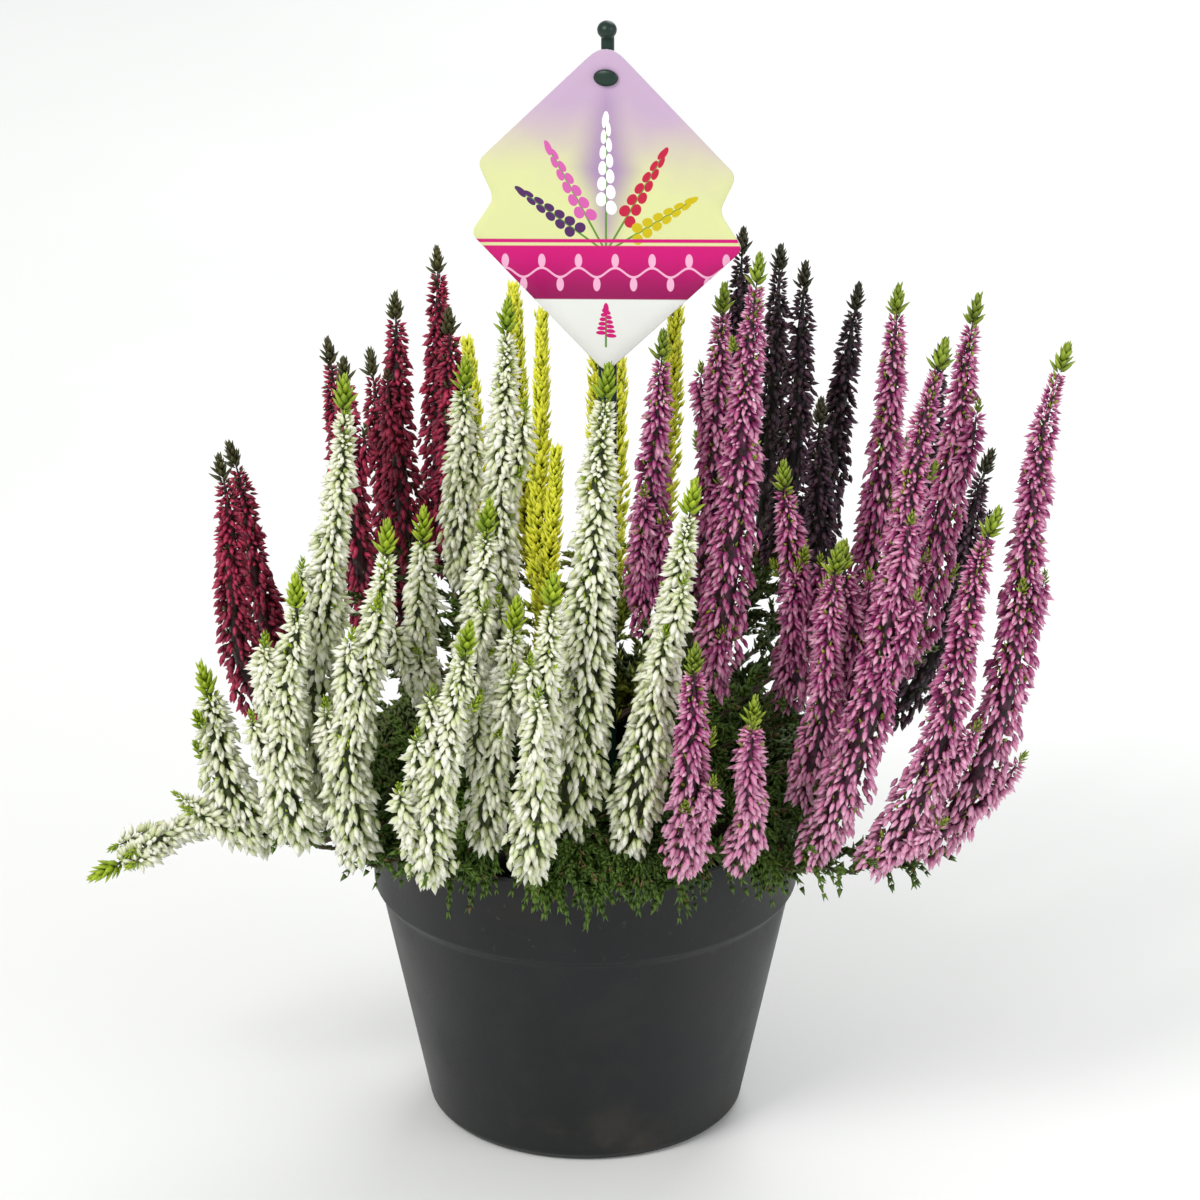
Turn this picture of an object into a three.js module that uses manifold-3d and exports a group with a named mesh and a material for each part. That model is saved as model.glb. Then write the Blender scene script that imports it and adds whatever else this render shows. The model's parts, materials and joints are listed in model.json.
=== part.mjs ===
// A pot of mixed heather: five young plants of five colours, rooted side by side in one
// round nursery pot, with a diamond label on a stake. Millimetres, +Z up. The origin is
// the centre of the pot's flat underside, and the label faces -Y.
import * as THREE from "three";
import { mergeVertices } from "three/addons/utils/BufferGeometryUtils.js";
import Module from "manifold-3d";

const wasm = await Module();
wasm.setup();

// Driving dimensions
const SEAT_GAP = 0.3; // air left between pieces that rest on or in each other
const SLIVER = 0.05; // slivers thinner than this are smoothed out of joined solids

const POT_HEIGHT = 93;
const POT_RIM_RADIUS = 61;
const POT_FOOT_RADIUS = 44;
const POT_WALL = 1;
const POT_FLOOR = 1.4;
const COLLAR_HEIGHT = 25;
const COLLAR_STEP = 1.8; // how far the collar stands out from the wall below it
const COLLAR_FLARE = 1.2; // how much wider the collar is at its top
const RIM_BEAD = 0.8;
const POT_SIDES = 36;
const DRAIN_COUNT = 6;
const DRAIN_RADIUS = 4;
const DRAIN_CIRCLE = 30;
const HOLE_SIDES = 8;

const SOIL_TOP = 84; // at the wall
const SOIL_DOME = 2.5; // how much higher it stands in the middle
const SOIL_SIDES = 22;

const CROWN_CIRCLE = 24; // the five plants are rooted on this radius
const CROWN_RADIUS = 3;
const CROWN_DEPTH = 14; // of the woody crown below the soil
const CROWN_RISE = 7; // of the crown above the pot's wall line of soil, where it branches
const CORE_RADIUS = 9; // the dense heart of each little bush
const CORE_HEIGHT = 20;

const STOUT_GIRTH = 12.5; // above this a shoot has four buds in a ring, below it three
const BUD_PITCH = 7.5; // from one ring of buds to the next
const BUD_RELIEF = 0.42;
const SCALE_SIDES = 2; // leaves stand in opposite pairs, each pair crossing the next
const STEM_PITCH = 20; // from one pair of leaves to the next, on the stems
const TWIG_PITCH = 8.5; // and on the side shoots
const SCALE_RELIEF = 0.5;
const BUD_POINT = 2; // how far the last buds stand beyond a spike's stem
const TWIG_POINT = 3;
const STEM_RADIUS = 2.4; // to the tips of the scale leaves
const STEM_END = 1.3; // the bare end that a flower spike sits on
const BLOOM_EARLY = 0.9; // the flowers begin a little before the stem turns up
const RIM_CLEARANCE = 5; // how high the middle of a stem passes over the rim

const TWIGS_EACH = 9; // short leafy side shoots on each plant
const TWIG_LENGTH = [26, 42];
const TWIG_RADIUS = 3.8;
const LEAST_AIR = 0.5; // between shoots of different nodes, where they are leaned apart
const BEAD_STEP = 4; // beads this far apart stand for a shoot while that is worked out
const BEAD_MARGIN = 0.3;
const MOST_LEANS = 400; // tries for one shoot
const MOST_DRAWS = 60; // tries for one side shoot

const STAKE_AT = [6, 1];
const STAKE_TOP = 309;
const STAKE_FOOT = 26;
const STAKE_WIDTH = 5;
const STAKE_HEAD = 3.4; // its width above the button
const STAKE_TAPER = 6; // height over which it narrows to that
const STAKE_DEPTH = 2;
const KNOB_RADIUS = 2.6;
const BUTTON_HEIGHT = 298; // where the button holds the label
const BUTTON_RADII = [3.3, 2.3];
const PEG_RADII = [1.7, 1.2];

const LABEL_WIDTH = 74; // across the lower corners of the notches
const LABEL_SHOULDERS = 70; // across their upper corners
const LABEL_TOP = 308;
const LABEL_MIDDLE = 263; // where the notches are
const LABEL_BOTTOM = 216;
const LABEL_CARD = 0.8;
const LABEL_ROUND = { top: 7, bottom: 3, sides: 2.5 };
const LABEL_NOTCH = [4.5, 20]; // depth and height of the notch at each side
const LABEL_TURN = -10; // degrees, its right edge comes forward

// The plants: where each is rooted, in degrees round the pot from +X, and its shoots. A
// shoot is the point where it turns up and its flowers begin, its tip, and its girth.
const PLANTS = [
  {
    name: "white",
    shootName: "flower_spike",
    at: -122,
    flower: "#dfe3cf",
    leaf: "#5d7a3a",
    shoots: [
      [[-22, -27, 138], [-20, -16, 236], 13],
      [[-29, -46, 128], [-24, -45, 190], 13],
      [[-68, -41, 108], [-62, -30, 219], 14],
      [[-60, -60, 103], [-50, -50, 186], 14],
      [[-42, -34, 138], [-42, -30, 182], 11],
      [[-3, -58, 108], [7, -45, 228], 17],
      [[-80, -46, 107], [-76, -45, 171], 15],
      [[-90, -34, 96], [-101, -32, 138], 16],
      [[-98, -14, 92], [-131, -24, 78], 11],
      [[-39, -74, 104], [-28, -75, 168], 14],
      [[-24, -64, 110], [-16, -62, 170], 12],
      [[12, -62, 110], [28, -55, 200], 14],
      [[-34, 8, 160], [-33, 10, 211], 12],
      [[-12, -77, 107], [-6, -73, 181], 13],
    ],
  },
  {
    name: "pink",
    shootName: "flower_spike",
    at: -38,
    flower: "#c2679f",
    leaf: "#4f6e36",
    shoots: [
      [[35, -30, 140], [46, -10, 248], 14],
      [[17, -14, 152], [21, -14, 228], 12],
      [[32, -2, 158], [37, 8, 234], 12],
      [[28, -70, 106], [30, -70, 162], 13],
      [[44, -70, 107], [46, -70, 147], 10],
      [[54, -34, 134], [53, -30, 194], 13],
      [[68, -34, 126], [67, -28, 174], 13],
      [[78, 12, 160], [84, 30, 227], 12],
      [[64, -60, 104], [94, -25, 230], 14],
      [[86, -14, 146], [101, -2, 235], 13],
      [[97, -49, 102], [126, -20, 228], 14],
      [[87, -59, 103], [113, -36, 188], 14],
      [[76, -46, 116], [82, -44, 178], 12],
    ],
  },
  {
    name: "purple",
    shootName: "flower_spike",
    at: 34,
    flower: "#3d1b33",
    leaf: "#44602f",
    shoots: [
      [[56, 30, 158], [62, 38, 232], 12],
      [[64, 10, 138], [68, 16, 200], 12],
      [[38, 34, 162], [42, 42, 240], 12],
      [[62, 58, 138], [74, 70, 215], 12],
      [[84, 40, 128], [98, 52, 205], 12],
      [[46, 60, 148], [50, 75, 224], 12],
      [[90, 22, 112], [110, 26, 182], 12],
    ],
  },
  {
    name: "yellow",
    shootName: "leafy_shoot",
    at: 100,
    flower: "#b9bf3e",
    leaf: "#8a9a3a",
    shoots: [
      [[-12, 8, 148], [-12, 10, 226], 10],
      [[-10, -12, 136], [-7, -22, 199], 11],
      [[2, 42, 162], [2, 48, 238], 11],
      [[18, 55, 148], [24, 66, 222], 12],
      [[-18, 52, 148], [-22, 62, 217], 12],
      [[4, 70, 128], [6, 88, 198], 12],
      [[30, 72, 118], [44, 95, 188], 12],
      [[-28, 74, 118], [-36, 92, 190], 12],
    ],
  },
  {
    name: "red",
    shootName: "flower_spike",
    at: 165,
    flower: "#a3203f",
    leaf: "#4c6833",
    shoots: [
      [[-50, 28, 156], [-53, 30, 224], 12],
      [[-36, 22, 160], [-38, 26, 221], 12],
      [[-62, 12, 148], [-68, 12, 212], 12],
      [[-90, 12, 110], [-100, 12, 183], 13],
      [[-42, 46, 148], [-44, 54, 230], 12],
      [[-66, 44, 128], [-76, 52, 204], 12],
      [[-84, 34, 108], [-100, 42, 176], 12],
      [[-54, 62, 118], [-64, 82, 190], 12],
    ],
  },
];

const UP = new THREE.Vector3(0, 0, 1);
const radians = THREE.MathUtils.degToRad;
const lerp = THREE.MathUtils.lerp;

// A point on a circle round the pot's axis
function polar(degrees, radius, z) {
  return new THREE.Vector3(
    radius * Math.cos(radians(degrees)),
    radius * Math.sin(radians(degrees)),
    z,
  );
}

// A closed geometry as a solid that can be joined and cut
function solid(geometry) {
  const bare = new THREE.BufferGeometry();
  bare.setAttribute("position", geometry.getAttribute("position"));
  bare.setIndex(geometry.index);
  const merged = mergeVertices(bare, 1e-4);
  return new wasm.Manifold(
    new wasm.Mesh({
      numProp: 3,
      vertProperties: merged.getAttribute("position").array,
      triVerts: new Uint32Array(merged.index.array),
    }),
  );
}

// The outer body of a solid as a geometry again, without slivers or sealed hollows
function geometryOf(made) {
  const body = made
    .simplify(SLIVER)
    .decompose()
    .reduce((a, b) => (b.volume() > a.volume() ? b : a));
  const mesh = body.getMesh();
  const geometry = new THREE.BufferGeometry();
  geometry.setAttribute(
    "position",
    new THREE.BufferAttribute(mesh.vertProperties, 3),
  );
  geometry.setIndex(new THREE.BufferAttribute(mesh.triVerts, 1));
  return geometry;
}

function namedMesh(name, geometry, color, roughness) {
  const material = new THREE.MeshStandardMaterial({
    color,
    roughness,
    metalness: 0,
  });
  const mesh = new THREE.Mesh(geometry, material);
  mesh.name = name;
  return mesh;
}

// A solid of revolution about Z from a closed profile of [radius, height] points
function lathe(profile, sides) {
  const points = profile.map(([r, z]) => new THREE.Vector2(r, z));
  const geometry = new THREE.LatheGeometry(points, sides);
  return geometry.rotateX(Math.PI / 2);
}

// An upright elliptic rod between two heights
function rod(radii, from, to, sides) {
  const geometry = new THREE.CylinderGeometry(1, 1, to - from, sides);
  geometry.rotateX(Math.PI / 2);
  geometry.scale(radii[0], radii[1], 1);
  return geometry.translate(0, 0, (from + to) / 2);
}

// The pot: a thin shell with a stepped collar, a beaded rim and round drain holes
function pot() {
  const wallTop = POT_HEIGHT - COLLAR_HEIGHT;
  const collarTop = POT_RIM_RADIUS - RIM_BEAD;
  const collarFoot = collarTop - COLLAR_FLARE;
  const neck = collarFoot - COLLAR_STEP;
  const shell = lathe(
    [
      [0, 0],
      [POT_FOOT_RADIUS - 2, 0],
      [POT_FOOT_RADIUS, 2],
      [neck, wallTop - COLLAR_STEP],
      [collarFoot, wallTop],
      [collarTop, POT_HEIGHT - 2 * RIM_BEAD],
      [POT_RIM_RADIUS, POT_HEIGHT - 2 * RIM_BEAD],
      [POT_RIM_RADIUS, POT_HEIGHT],
      [collarTop - POT_WALL, POT_HEIGHT],
      [collarFoot - POT_WALL, wallTop],
      [neck - POT_WALL, wallTop - COLLAR_STEP],
      [POT_FOOT_RADIUS - POT_WALL, POT_FLOOR + 1],
      [POT_FOOT_RADIUS - 2, POT_FLOOR],
      [0, POT_FLOOR],
    ],
    POT_SIDES,
  );
  let made = solid(shell);
  for (let i = 0; i < DRAIN_COUNT; i++) {
    const at = polar((360 * (i + 0.5)) / DRAIN_COUNT, DRAIN_CIRCLE, 0);
    const drain = rod([DRAIN_RADIUS, DRAIN_RADIUS], -1, POT_FLOOR + 1, HOLE_SIDES);
    made = made.subtract(solid(drain.translate(at.x, at.y, 0)));
  }
  return geometryOf(made);
}

// The soil fills the pot to just below its collar's top, a little domed, with a plain
// hole for each plant's crown and for the stake
function soil() {
  const wallTop = POT_HEIGHT - COLLAR_HEIGHT;
  const inside = POT_WALL + SEAT_GAP;
  const collarTop = POT_RIM_RADIUS - RIM_BEAD - inside;
  const collarFoot = collarTop - COLLAR_FLARE;
  const neck = collarFoot - COLLAR_STEP;
  const block = lathe(
    [
      [0, POT_FLOOR + SEAT_GAP],
      [POT_FOOT_RADIUS - 2 - SEAT_GAP, POT_FLOOR + SEAT_GAP],
      [POT_FOOT_RADIUS - inside, POT_FLOOR + SEAT_GAP + 1],
      [neck, wallTop - COLLAR_STEP],
      [collarFoot, wallTop],
      [lerp(collarFoot, collarTop, 0.7), SOIL_TOP],
      [POT_RIM_RADIUS * 0.5, SOIL_TOP + SOIL_DOME * 0.75],
      [0, SOIL_TOP + SOIL_DOME],
    ],
    SOIL_SIDES,
  );
  let made = solid(block);
  const bore = CROWN_RADIUS + SEAT_GAP * 2;
  for (const plant of PLANTS) {
    const at = polar(plant.at, CROWN_CIRCLE, 0);
    const foot = SOIL_TOP - CROWN_DEPTH - SEAT_GAP;
    const hole = rod([bore, bore], foot, POT_HEIGHT, HOLE_SIDES);
    made = made.subtract(solid(hole.translate(at.x, at.y, 0)));
  }
  const slot = new THREE.BoxGeometry(
    STAKE_WIDTH + 2 * SEAT_GAP,
    STAKE_DEPTH + 2 * SEAT_GAP,
    POT_HEIGHT - STAKE_FOOT + SEAT_GAP,
  );
  slot.rotateZ(radians(LABEL_TURN));
  slot.translate(...STAKE_AT, (POT_HEIGHT + STAKE_FOOT - SEAT_GAP) / 2);
  return geometryOf(made.subtract(solid(slot)));
}

// Places what was made facing -Y, with the stake's axis on Z, where the stake stands
function onStake(geometry) {
  geometry.rotateZ(radians(LABEL_TURN));
  return geometry.translate(...STAKE_AT, 0);
}

const labelBack = -STAKE_DEPTH / 2 - SEAT_GAP;
const labelFront = labelBack - LABEL_CARD;

// An elliptic disc or peg that lies along Y between two depths
function peg(radii, from, to, z) {
  const geometry = new THREE.CylinderGeometry(1, 1, to - from, 10);
  geometry.scale(radii[0], 1, radii[1]);
  return geometry.translate(0, (from + to) / 2, z);
}

// The stake: a flat strip with a pointed foot and a narrow head, a knob that stands over
// the label's top, and a peg through the label that ends in an oval button
function stake() {
  const half = STAKE_WIDTH / 2;
  const outline = new THREE.Shape();
  outline.moveTo(0, STAKE_FOOT);
  outline.lineTo(half, STAKE_FOOT + 10);
  outline.lineTo(half, BUTTON_HEIGHT);
  outline.lineTo(STAKE_HEAD / 2, BUTTON_HEIGHT + STAKE_TAPER);
  outline.lineTo(STAKE_HEAD / 2, STAKE_TOP);
  outline.lineTo(-STAKE_HEAD / 2, STAKE_TOP);
  outline.lineTo(-STAKE_HEAD / 2, BUTTON_HEIGHT + STAKE_TAPER);
  outline.lineTo(-half, BUTTON_HEIGHT);
  outline.lineTo(-half, STAKE_FOOT + 10);
  const strip = new THREE.ExtrudeGeometry(outline, {
    depth: STAKE_DEPTH,
    bevelEnabled: false,
  });
  strip.rotateX(Math.PI / 2);
  strip.translate(0, STAKE_DEPTH / 2, 0);
  const knob = new THREE.SphereGeometry(KNOB_RADIUS, 8, 6);
  knob.translate(0, -STAKE_DEPTH / 2, STAKE_TOP + KNOB_RADIUS * 0.6);
  const shank = peg(PEG_RADII, labelFront - 1, 0, BUTTON_HEIGHT);
  const face = labelFront - SEAT_GAP;
  const button = peg(BUTTON_RADII, face - 1.2, face, BUTTON_HEIGHT);
  const made = solid(strip)
    .add(solid(knob))
    .add(solid(shank))
    .add(solid(button));
  return onStake(geometryOf(made));
}

// The label: a diamond with rounded corners and a notch at each side, and a hole for the
// button's peg
function label() {
  const half = LABEL_WIDTH / 2;
  const shoulder = LABEL_SHOULDERS / 2;
  const [deep, tall] = LABEL_NOTCH;
  const { top, bottom, sides } = LABEL_ROUND;
  const rightSide = [
    [half, LABEL_MIDDLE - tall / 2, sides],
    [shoulder - deep, LABEL_MIDDLE, sides],
    [shoulder, LABEL_MIDDLE + tall / 2, sides],
  ];
  const leftSide = rightSide.toReversed().map(([x, z, round]) => [-x, z, round]);
  const corners = [
    [0, LABEL_BOTTOM, bottom],
    ...rightSide,
    [0, LABEL_TOP, top],
    ...leftSide,
  ].map(([x, z, round]) => ({ at: new THREE.Vector2(x, z), round }));
  const outline = new THREE.Shape();
  corners.forEach(({ at, round }, i) => {
    const before = corners.at(i - 1).at;
    const after = corners[(i + 1) % corners.length].at;
    const enter = before.clone().sub(at).setLength(round).add(at);
    const leave = after.clone().sub(at).setLength(round).add(at);
    if (i === 0) outline.moveTo(enter.x, enter.y);
    else outline.lineTo(enter.x, enter.y);
    outline.quadraticCurveTo(at.x, at.y, leave.x, leave.y);
  });
  const hole = new THREE.Path();
  const [a, b] = PEG_RADII.map((r) => r + SEAT_GAP * 1.5);
  hole.absellipse(0, BUTTON_HEIGHT, a, b, 0, 2 * Math.PI);
  outline.holes.push(hole);
  const card = new THREE.ExtrudeGeometry(outline, {
    depth: LABEL_CARD,
    bevelEnabled: false,
    curveSegments: 3,
  });
  card.rotateX(Math.PI / 2);
  return onStake(card.translate(0, labelBack, 0));
}

// Seeded random numbers from 0 to 1, the same on every run
function seeded(seed) {
  let state = seed;
  return () => {
    state = (state + 0x6d2b79f5) | 0;
    let t = Math.imul(state ^ (state >>> 15), 1 | state);
    t = (t + Math.imul(t ^ (t >>> 7), 61 | t)) ^ t;
    return ((t ^ (t >>> 14)) >>> 0) / 4294967296;
  };
}

// Part of another curve, between two fractions of its length
class Stretch extends THREE.Curve {
  constructor(whole, from, to) {
    super();
    this.whole = whole;
    this.from = from;
    this.to = to;
  }

  getPoint(t, target) {
    return this.whole.getPointAt(lerp(this.from, this.to, t), target);
  }
}

// A shoot covered in buds or scale leaves: rings of points along a path, in which every
// other point stands out, and each ring is turned by one point against the last. So each
// bud is a four-sided point, and the buds cover the shoot. radiusAt gives the radius from
// foot to tip, liftAt how far a bud leans towards the tip, in rings.
function budded(path, { sides, pitch, relief, radiusAt, liftAt, end, point }) {
  const rings = Math.max(2, Math.round(path.getLength() / pitch));
  const frames = path.computeFrenetFrames(rings);
  const around = 2 * sides;
  const positions = [];
  for (let i = 0; i <= rings; i++) {
    const t = i / rings;
    const centre = path.getPointAt(t);
    const closing = i === 0 || i === rings;
    for (let j = 0; j < around; j++) {
      const out = (i + j) % 2 === 0;
      const angle = (2 * Math.PI * j) / around;
      const radius = closing ? end : radiusAt(t) * (out ? 1 : 1 - relief);
      const lift = closing || !out ? 0 : liftAt(t) * pitch;
      const p = centre
        .clone()
        .addScaledVector(frames.normals[i], radius * Math.cos(angle))
        .addScaledVector(frames.binormals[i], radius * Math.sin(angle))
        .addScaledVector(frames.tangents[i], lift);
      positions.push(p.x, p.y, p.z);
    }
  }
  const foot = path.getPointAt(0);
  const tip = path.getPointAt(1).addScaledVector(frames.tangents[rings], point);
  positions.push(foot.x, foot.y, foot.z, tip.x, tip.y, tip.z);

  const faces = [];
  const last = rings * around;
  const footAt = last + around;
  for (let j = 0; j < around; j++) {
    const next = (j + 1) % around;
    faces.push(footAt, next, j, footAt + 1, last + j, last + next);
    for (let i = 0; i < rings; i++) {
      const a = i * around + j;
      const b = i * around + next;
      const c = b + around;
      const d = a + around;
      if ((i + j) % 2 === 0) faces.push(a, b, d, b, c, d);
      else faces.push(a, b, c, a, c, d);
    }
  }
  const geometry = new THREE.BufferGeometry();
  geometry.setAttribute(
    "position",
    new THREE.Float32BufferAttribute(positions, 3),
  );
  geometry.setIndex(faces);
  return geometry;
}

// Flower spikes are full from just above their foot and narrow over their last quarter;
// a leafy shoot narrows all the way
function spikeRadius(t) {
  const swell = Math.min(1, 0.62 + 3 * t);
  const taper = t < 0.72 ? 1 : 1 - 0.62 * ((t - 0.72) / 0.28) ** 1.4;
  return swell * taper;
}

function leafyRadius(t) {
  return Math.min(1, 0.7 + 3 * t) * (1 - 0.62 * t);
}

// A shoot's whole path: from its crown, over the pot's rim where it reaches past it, to
// the point where it turns up, and on to its tip. Gives the path and the share of it that
// lies below the flowers.
function shootPath(crown, turn, tip) {
  const points = [crown, turn, tip];
  const reach = Math.hypot(turn.x, turn.y);
  if (reach > POT_RIM_RADIUS) {
    const share = (POT_RIM_RADIUS - CROWN_CIRCLE) / (reach - CROWN_CIRCLE);
    const overRim = crown.clone().lerp(turn, share);
    overRim.z = POT_HEIGHT + RIM_CLEARANCE;
    points.splice(1, 0, overRim);
  }
  const path = new THREE.CatmullRomCurve3(points, false, "centripetal");
  const lengths = path.getLengths((points.length - 1) * 20);
  const atTurn = lengths.at(-21) / lengths.at(-1);
  return { path, bare: BLOOM_EARLY * atTurn };
}

// Beads strung along a path stand for a shoot where shoots are kept clear of each other
function beads(path, radiusAt, plant, isStem) {
  const count = Math.ceil(path.getLength() / BEAD_STEP);
  return path.getSpacedPoints(count).map((centre, i) => ({
    centre,
    radius: radiusAt(i / count) + BEAD_MARGIN,
    plant,
    isStem,
  }));
}

// Air between one bead and the pot's rim and wall, the soil, the stake and the label
function airAtHolder({ centre, radius }) {
  const out = Math.hypot(centre.x, centre.y);
  const overRim = centre.z - POT_HEIGHT;
  const besideWall = out - POT_RIM_RADIUS;
  const insideWall = POT_RIM_RADIUS - 2 * POT_WALL - RIM_BEAD - out;
  let air = Math.max(overRim, besideWall, Math.min(insideWall, 50));
  if (insideWall > 0) air = Math.min(air, centre.z - SOIL_TOP - SOIL_DOME);
  const offset = new THREE.Vector2(
    centre.x - STAKE_AT[0],
    centre.y - STAKE_AT[1],
  );
  offset.rotateAround(new THREE.Vector2(), radians(-LABEL_TURN));
  const half = STAKE_WIDTH / 2;
  const besideStake = Math.hypot(
    Math.max(0, Math.abs(offset.x) - half),
    Math.max(0, Math.abs(offset.y) - half),
  );
  air = Math.min(air, besideStake);
  const down = Math.abs(centre.z - LABEL_MIDDLE) / (LABEL_MIDDLE - LABEL_BOTTOM);
  const across = (2 * Math.abs(offset.x)) / LABEL_WIDTH;
  const beyondEdge = Math.max(0, down + across - 1) * LABEL_WIDTH * 0.38;
  const beforeCard = Math.max(0, Math.abs(offset.y) + labelFront);
  air = Math.min(air, Math.hypot(beforeCard, beyondEdge));
  return air - radius;
}

// The least air between new beads and those already placed. Branches of one plant may
// meet, because they grow together.
function air(added, placed) {
  let least = Infinity;
  for (const a of added) {
    least = Math.min(least, airAtHolder(a));
    for (const b of placed) {
      if (a.plant === b.plant && a.isStem && b.isStem) continue;
      const reach = a.radius + b.radius;
      least = Math.min(least, a.centre.distanceTo(b.centre) - reach);
    }
  }
  return least;
}

const placed = [];

// One of a plant's shoots, leaned a little, in a widening spiral of turns and reaches,
// until it stands clear of those before it
function placedShoot(plant, [turn, tip, girth]) {
  const radiusAt = plant.shootName === "leafy_shoot" ? leafyRadius : spikeRadius;
  let best = { air: -Infinity };
  for (let step = 0; step < MOST_LEANS && best.air < LEAST_AIR; step++) {
    const degrees = 0.035 * step * Math.sin(step * 2.4);
    const reach = 1 + 0.0009 * step * Math.cos(step * 2.4);
    const lean = (point, share) =>
      new THREE.Vector3(point[0] * reach, point[1] * reach, point[2]).applyAxisAngle(
        UP,
        radians(degrees * share),
      );
    const { path, bare } = shootPath(plant.crown, lean(turn, 1.5), lean(tip, 1));
    const stem = new Stretch(path, 0.15 * bare, 0.95 * bare);
    const bloom = new Stretch(path, bare, 1);
    const added = [
      ...beads(stem, () => STEM_RADIUS, plant.name, true),
      ...beads(bloom, (t) => (girth / 2) * radiusAt(t), plant.name, false),
    ];
    const least = air(added, placed);
    if (least > best.air) best = { air: least, path, bare, bloom, added, girth, radiusAt };
  }
  placed.push(...best.added);
  return best;
}

// A short leafy side shoot, drawn at random on one of the plant's stems until it stands
// clear of everything else, or nothing where there is no room for it
function placedTwig(plant, index, random) {
  const radiusAt = (t) => TWIG_RADIUS * lerp(1, 0.6, t);
  let best = { air: 0 };
  for (let draw = 0; draw < MOST_DRAWS && best.air < LEAST_AIR; draw++) {
    const { path, bare } = plant.paths[(index + draw) % plant.paths.length];
    const root = path.getPointAt(bare * lerp(0.35, 0.9, random()));
    const heading = plant.at + lerp(-80, 80, random());
    const climb = radians(lerp(-25, 65, random()));
    const length = lerp(...TWIG_LENGTH, random());
    const out = polar(heading, length * Math.cos(climb), 0);
    const middle = root.clone().addScaledVector(out, 0.55);
    middle.z += 0.25 * length;
    const end = root.clone().add(out).addScaledVector(UP, length * Math.sin(climb));
    const twig = new THREE.QuadraticBezierCurve3(root, middle, end);
    const added = beads(twig, radiusAt, plant.name, true);
    const least = air(added, placed);
    if (least > best.air) best = { air: least, twig, added, radiusAt };
  }
  placed.push(...(best.added ?? []));
  return best;
}

const SCALES = {
  sides: SCALE_SIDES,
  relief: SCALE_RELIEF,
  liftAt: () => 0.4,
  end: STEM_END,
};

// The woody crown in its hole in the soil, and the dense heart of the bush above it
function crownAndCore(plant) {
  const foot = plant.crown.clone();
  foot.z = SOIL_TOP - CROWN_DEPTH;
  const coreTop = plant.crown.clone().addScaledVector(UP, CORE_HEIGHT);
  const crown = budded(new THREE.LineCurve3(foot, plant.crown), {
    sides: 3,
    pitch: CROWN_RADIUS * 3,
    relief: 0.12,
    radiusAt: () => CROWN_RADIUS,
    liftAt: () => 0,
    end: CROWN_RADIUS * 0.8,
    point: 0,
  });
  const core = budded(new THREE.LineCurve3(plant.crown, coreTop), {
    sides: 3,
    pitch: CORE_HEIGHT / 4,
    relief: 0.3,
    radiusAt: (t) => CORE_RADIUS * Math.sqrt(Math.sin(Math.PI * lerp(0.12, 0.95, t))),
    liftAt: () => 0.3,
    end: CORE_RADIUS / 4,
    point: CORE_RADIUS / 4,
  });
  return solid(crown).add(solid(core));
}

// The green body of a plant: its crown, the stems up to the flowers, and its side shoots
function branchesOf(plant, random) {
  let branches = crownAndCore(plant);
  for (const { path, bare } of plant.paths) {
    const seat = bare - SEAT_GAP / path.getLength();
    const stem = budded(new Stretch(path, 0, seat), {
      ...SCALES,
      pitch: STEM_PITCH,
      radiusAt: (t) => STEM_RADIUS * lerp(1.1, 0.95, t),
      point: 0,
    });
    branches = branches.add(solid(stem));
  }
  for (let i = 0; i < TWIGS_EACH; i++) {
    const { twig, radiusAt } = placedTwig(plant, i, random);
    if (!twig) continue;
    const leafy = budded(twig, {
      ...SCALES,
      pitch: TWIG_PITCH,
      radiusAt,
      point: TWIG_POINT,
    });
    branches = branches.add(solid(leafy));
  }
  return geometryOf(branches);
}

// The flowers of one shoot, or its leaves where it has none
function spikeOf({ bloom, girth, radiusAt }) {
  return budded(bloom, {
    sides: girth > STOUT_GIRTH ? 4 : 3,
    pitch: BUD_PITCH,
    relief: BUD_RELIEF,
    radiusAt: (t) => (girth / 2) * radiusAt(t),
    liftAt: (t) => lerp(-0.1, 0.5, t),
    end: STEM_END * 1.2,
    point: BUD_POINT,
  });
}

const group = new THREE.Group();
group.add(namedMesh("nursery_pot", pot(), "#25272b", 0.6));
group.add(namedMesh("potting_soil", soil(), "#2c211a", 0.95));
group.add(namedMesh("label_stake", stake(), "#1d3f2c", 0.45));
group.add(namedMesh("plant_label", label(), "#e3dcec", 0.35));

for (const plant of PLANTS) {
  plant.crown = polar(plant.at, CROWN_CIRCLE, SOIL_TOP + CROWN_RISE);
  const heart = plant.crown.clone().addScaledVector(UP, CORE_HEIGHT / 2);
  placed.push({
    centre: heart,
    radius: CORE_RADIUS,
    plant: plant.name,
    isStem: true,
  });
}
for (const plant of PLANTS) {
  plant.paths = plant.shoots.map((shoot) => placedShoot(plant, shoot));
}

PLANTS.forEach((plant, plantIndex) => {
  const branches = branchesOf(plant, seeded(11 + plantIndex));
  const name = plant.name + "_heather_branches";
  group.add(namedMesh(name, branches, plant.leaf, 0.8));
  plant.paths.forEach((shoot, i) => {
    const number = String(i + 1).padStart(2, "0");
    const spikeName = [plant.name, plant.shootName, number].join("_");
    group.add(namedMesh(spikeName, spikeOf(shoot), plant.flower, 0.7));
  });
});

export default group;
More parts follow.
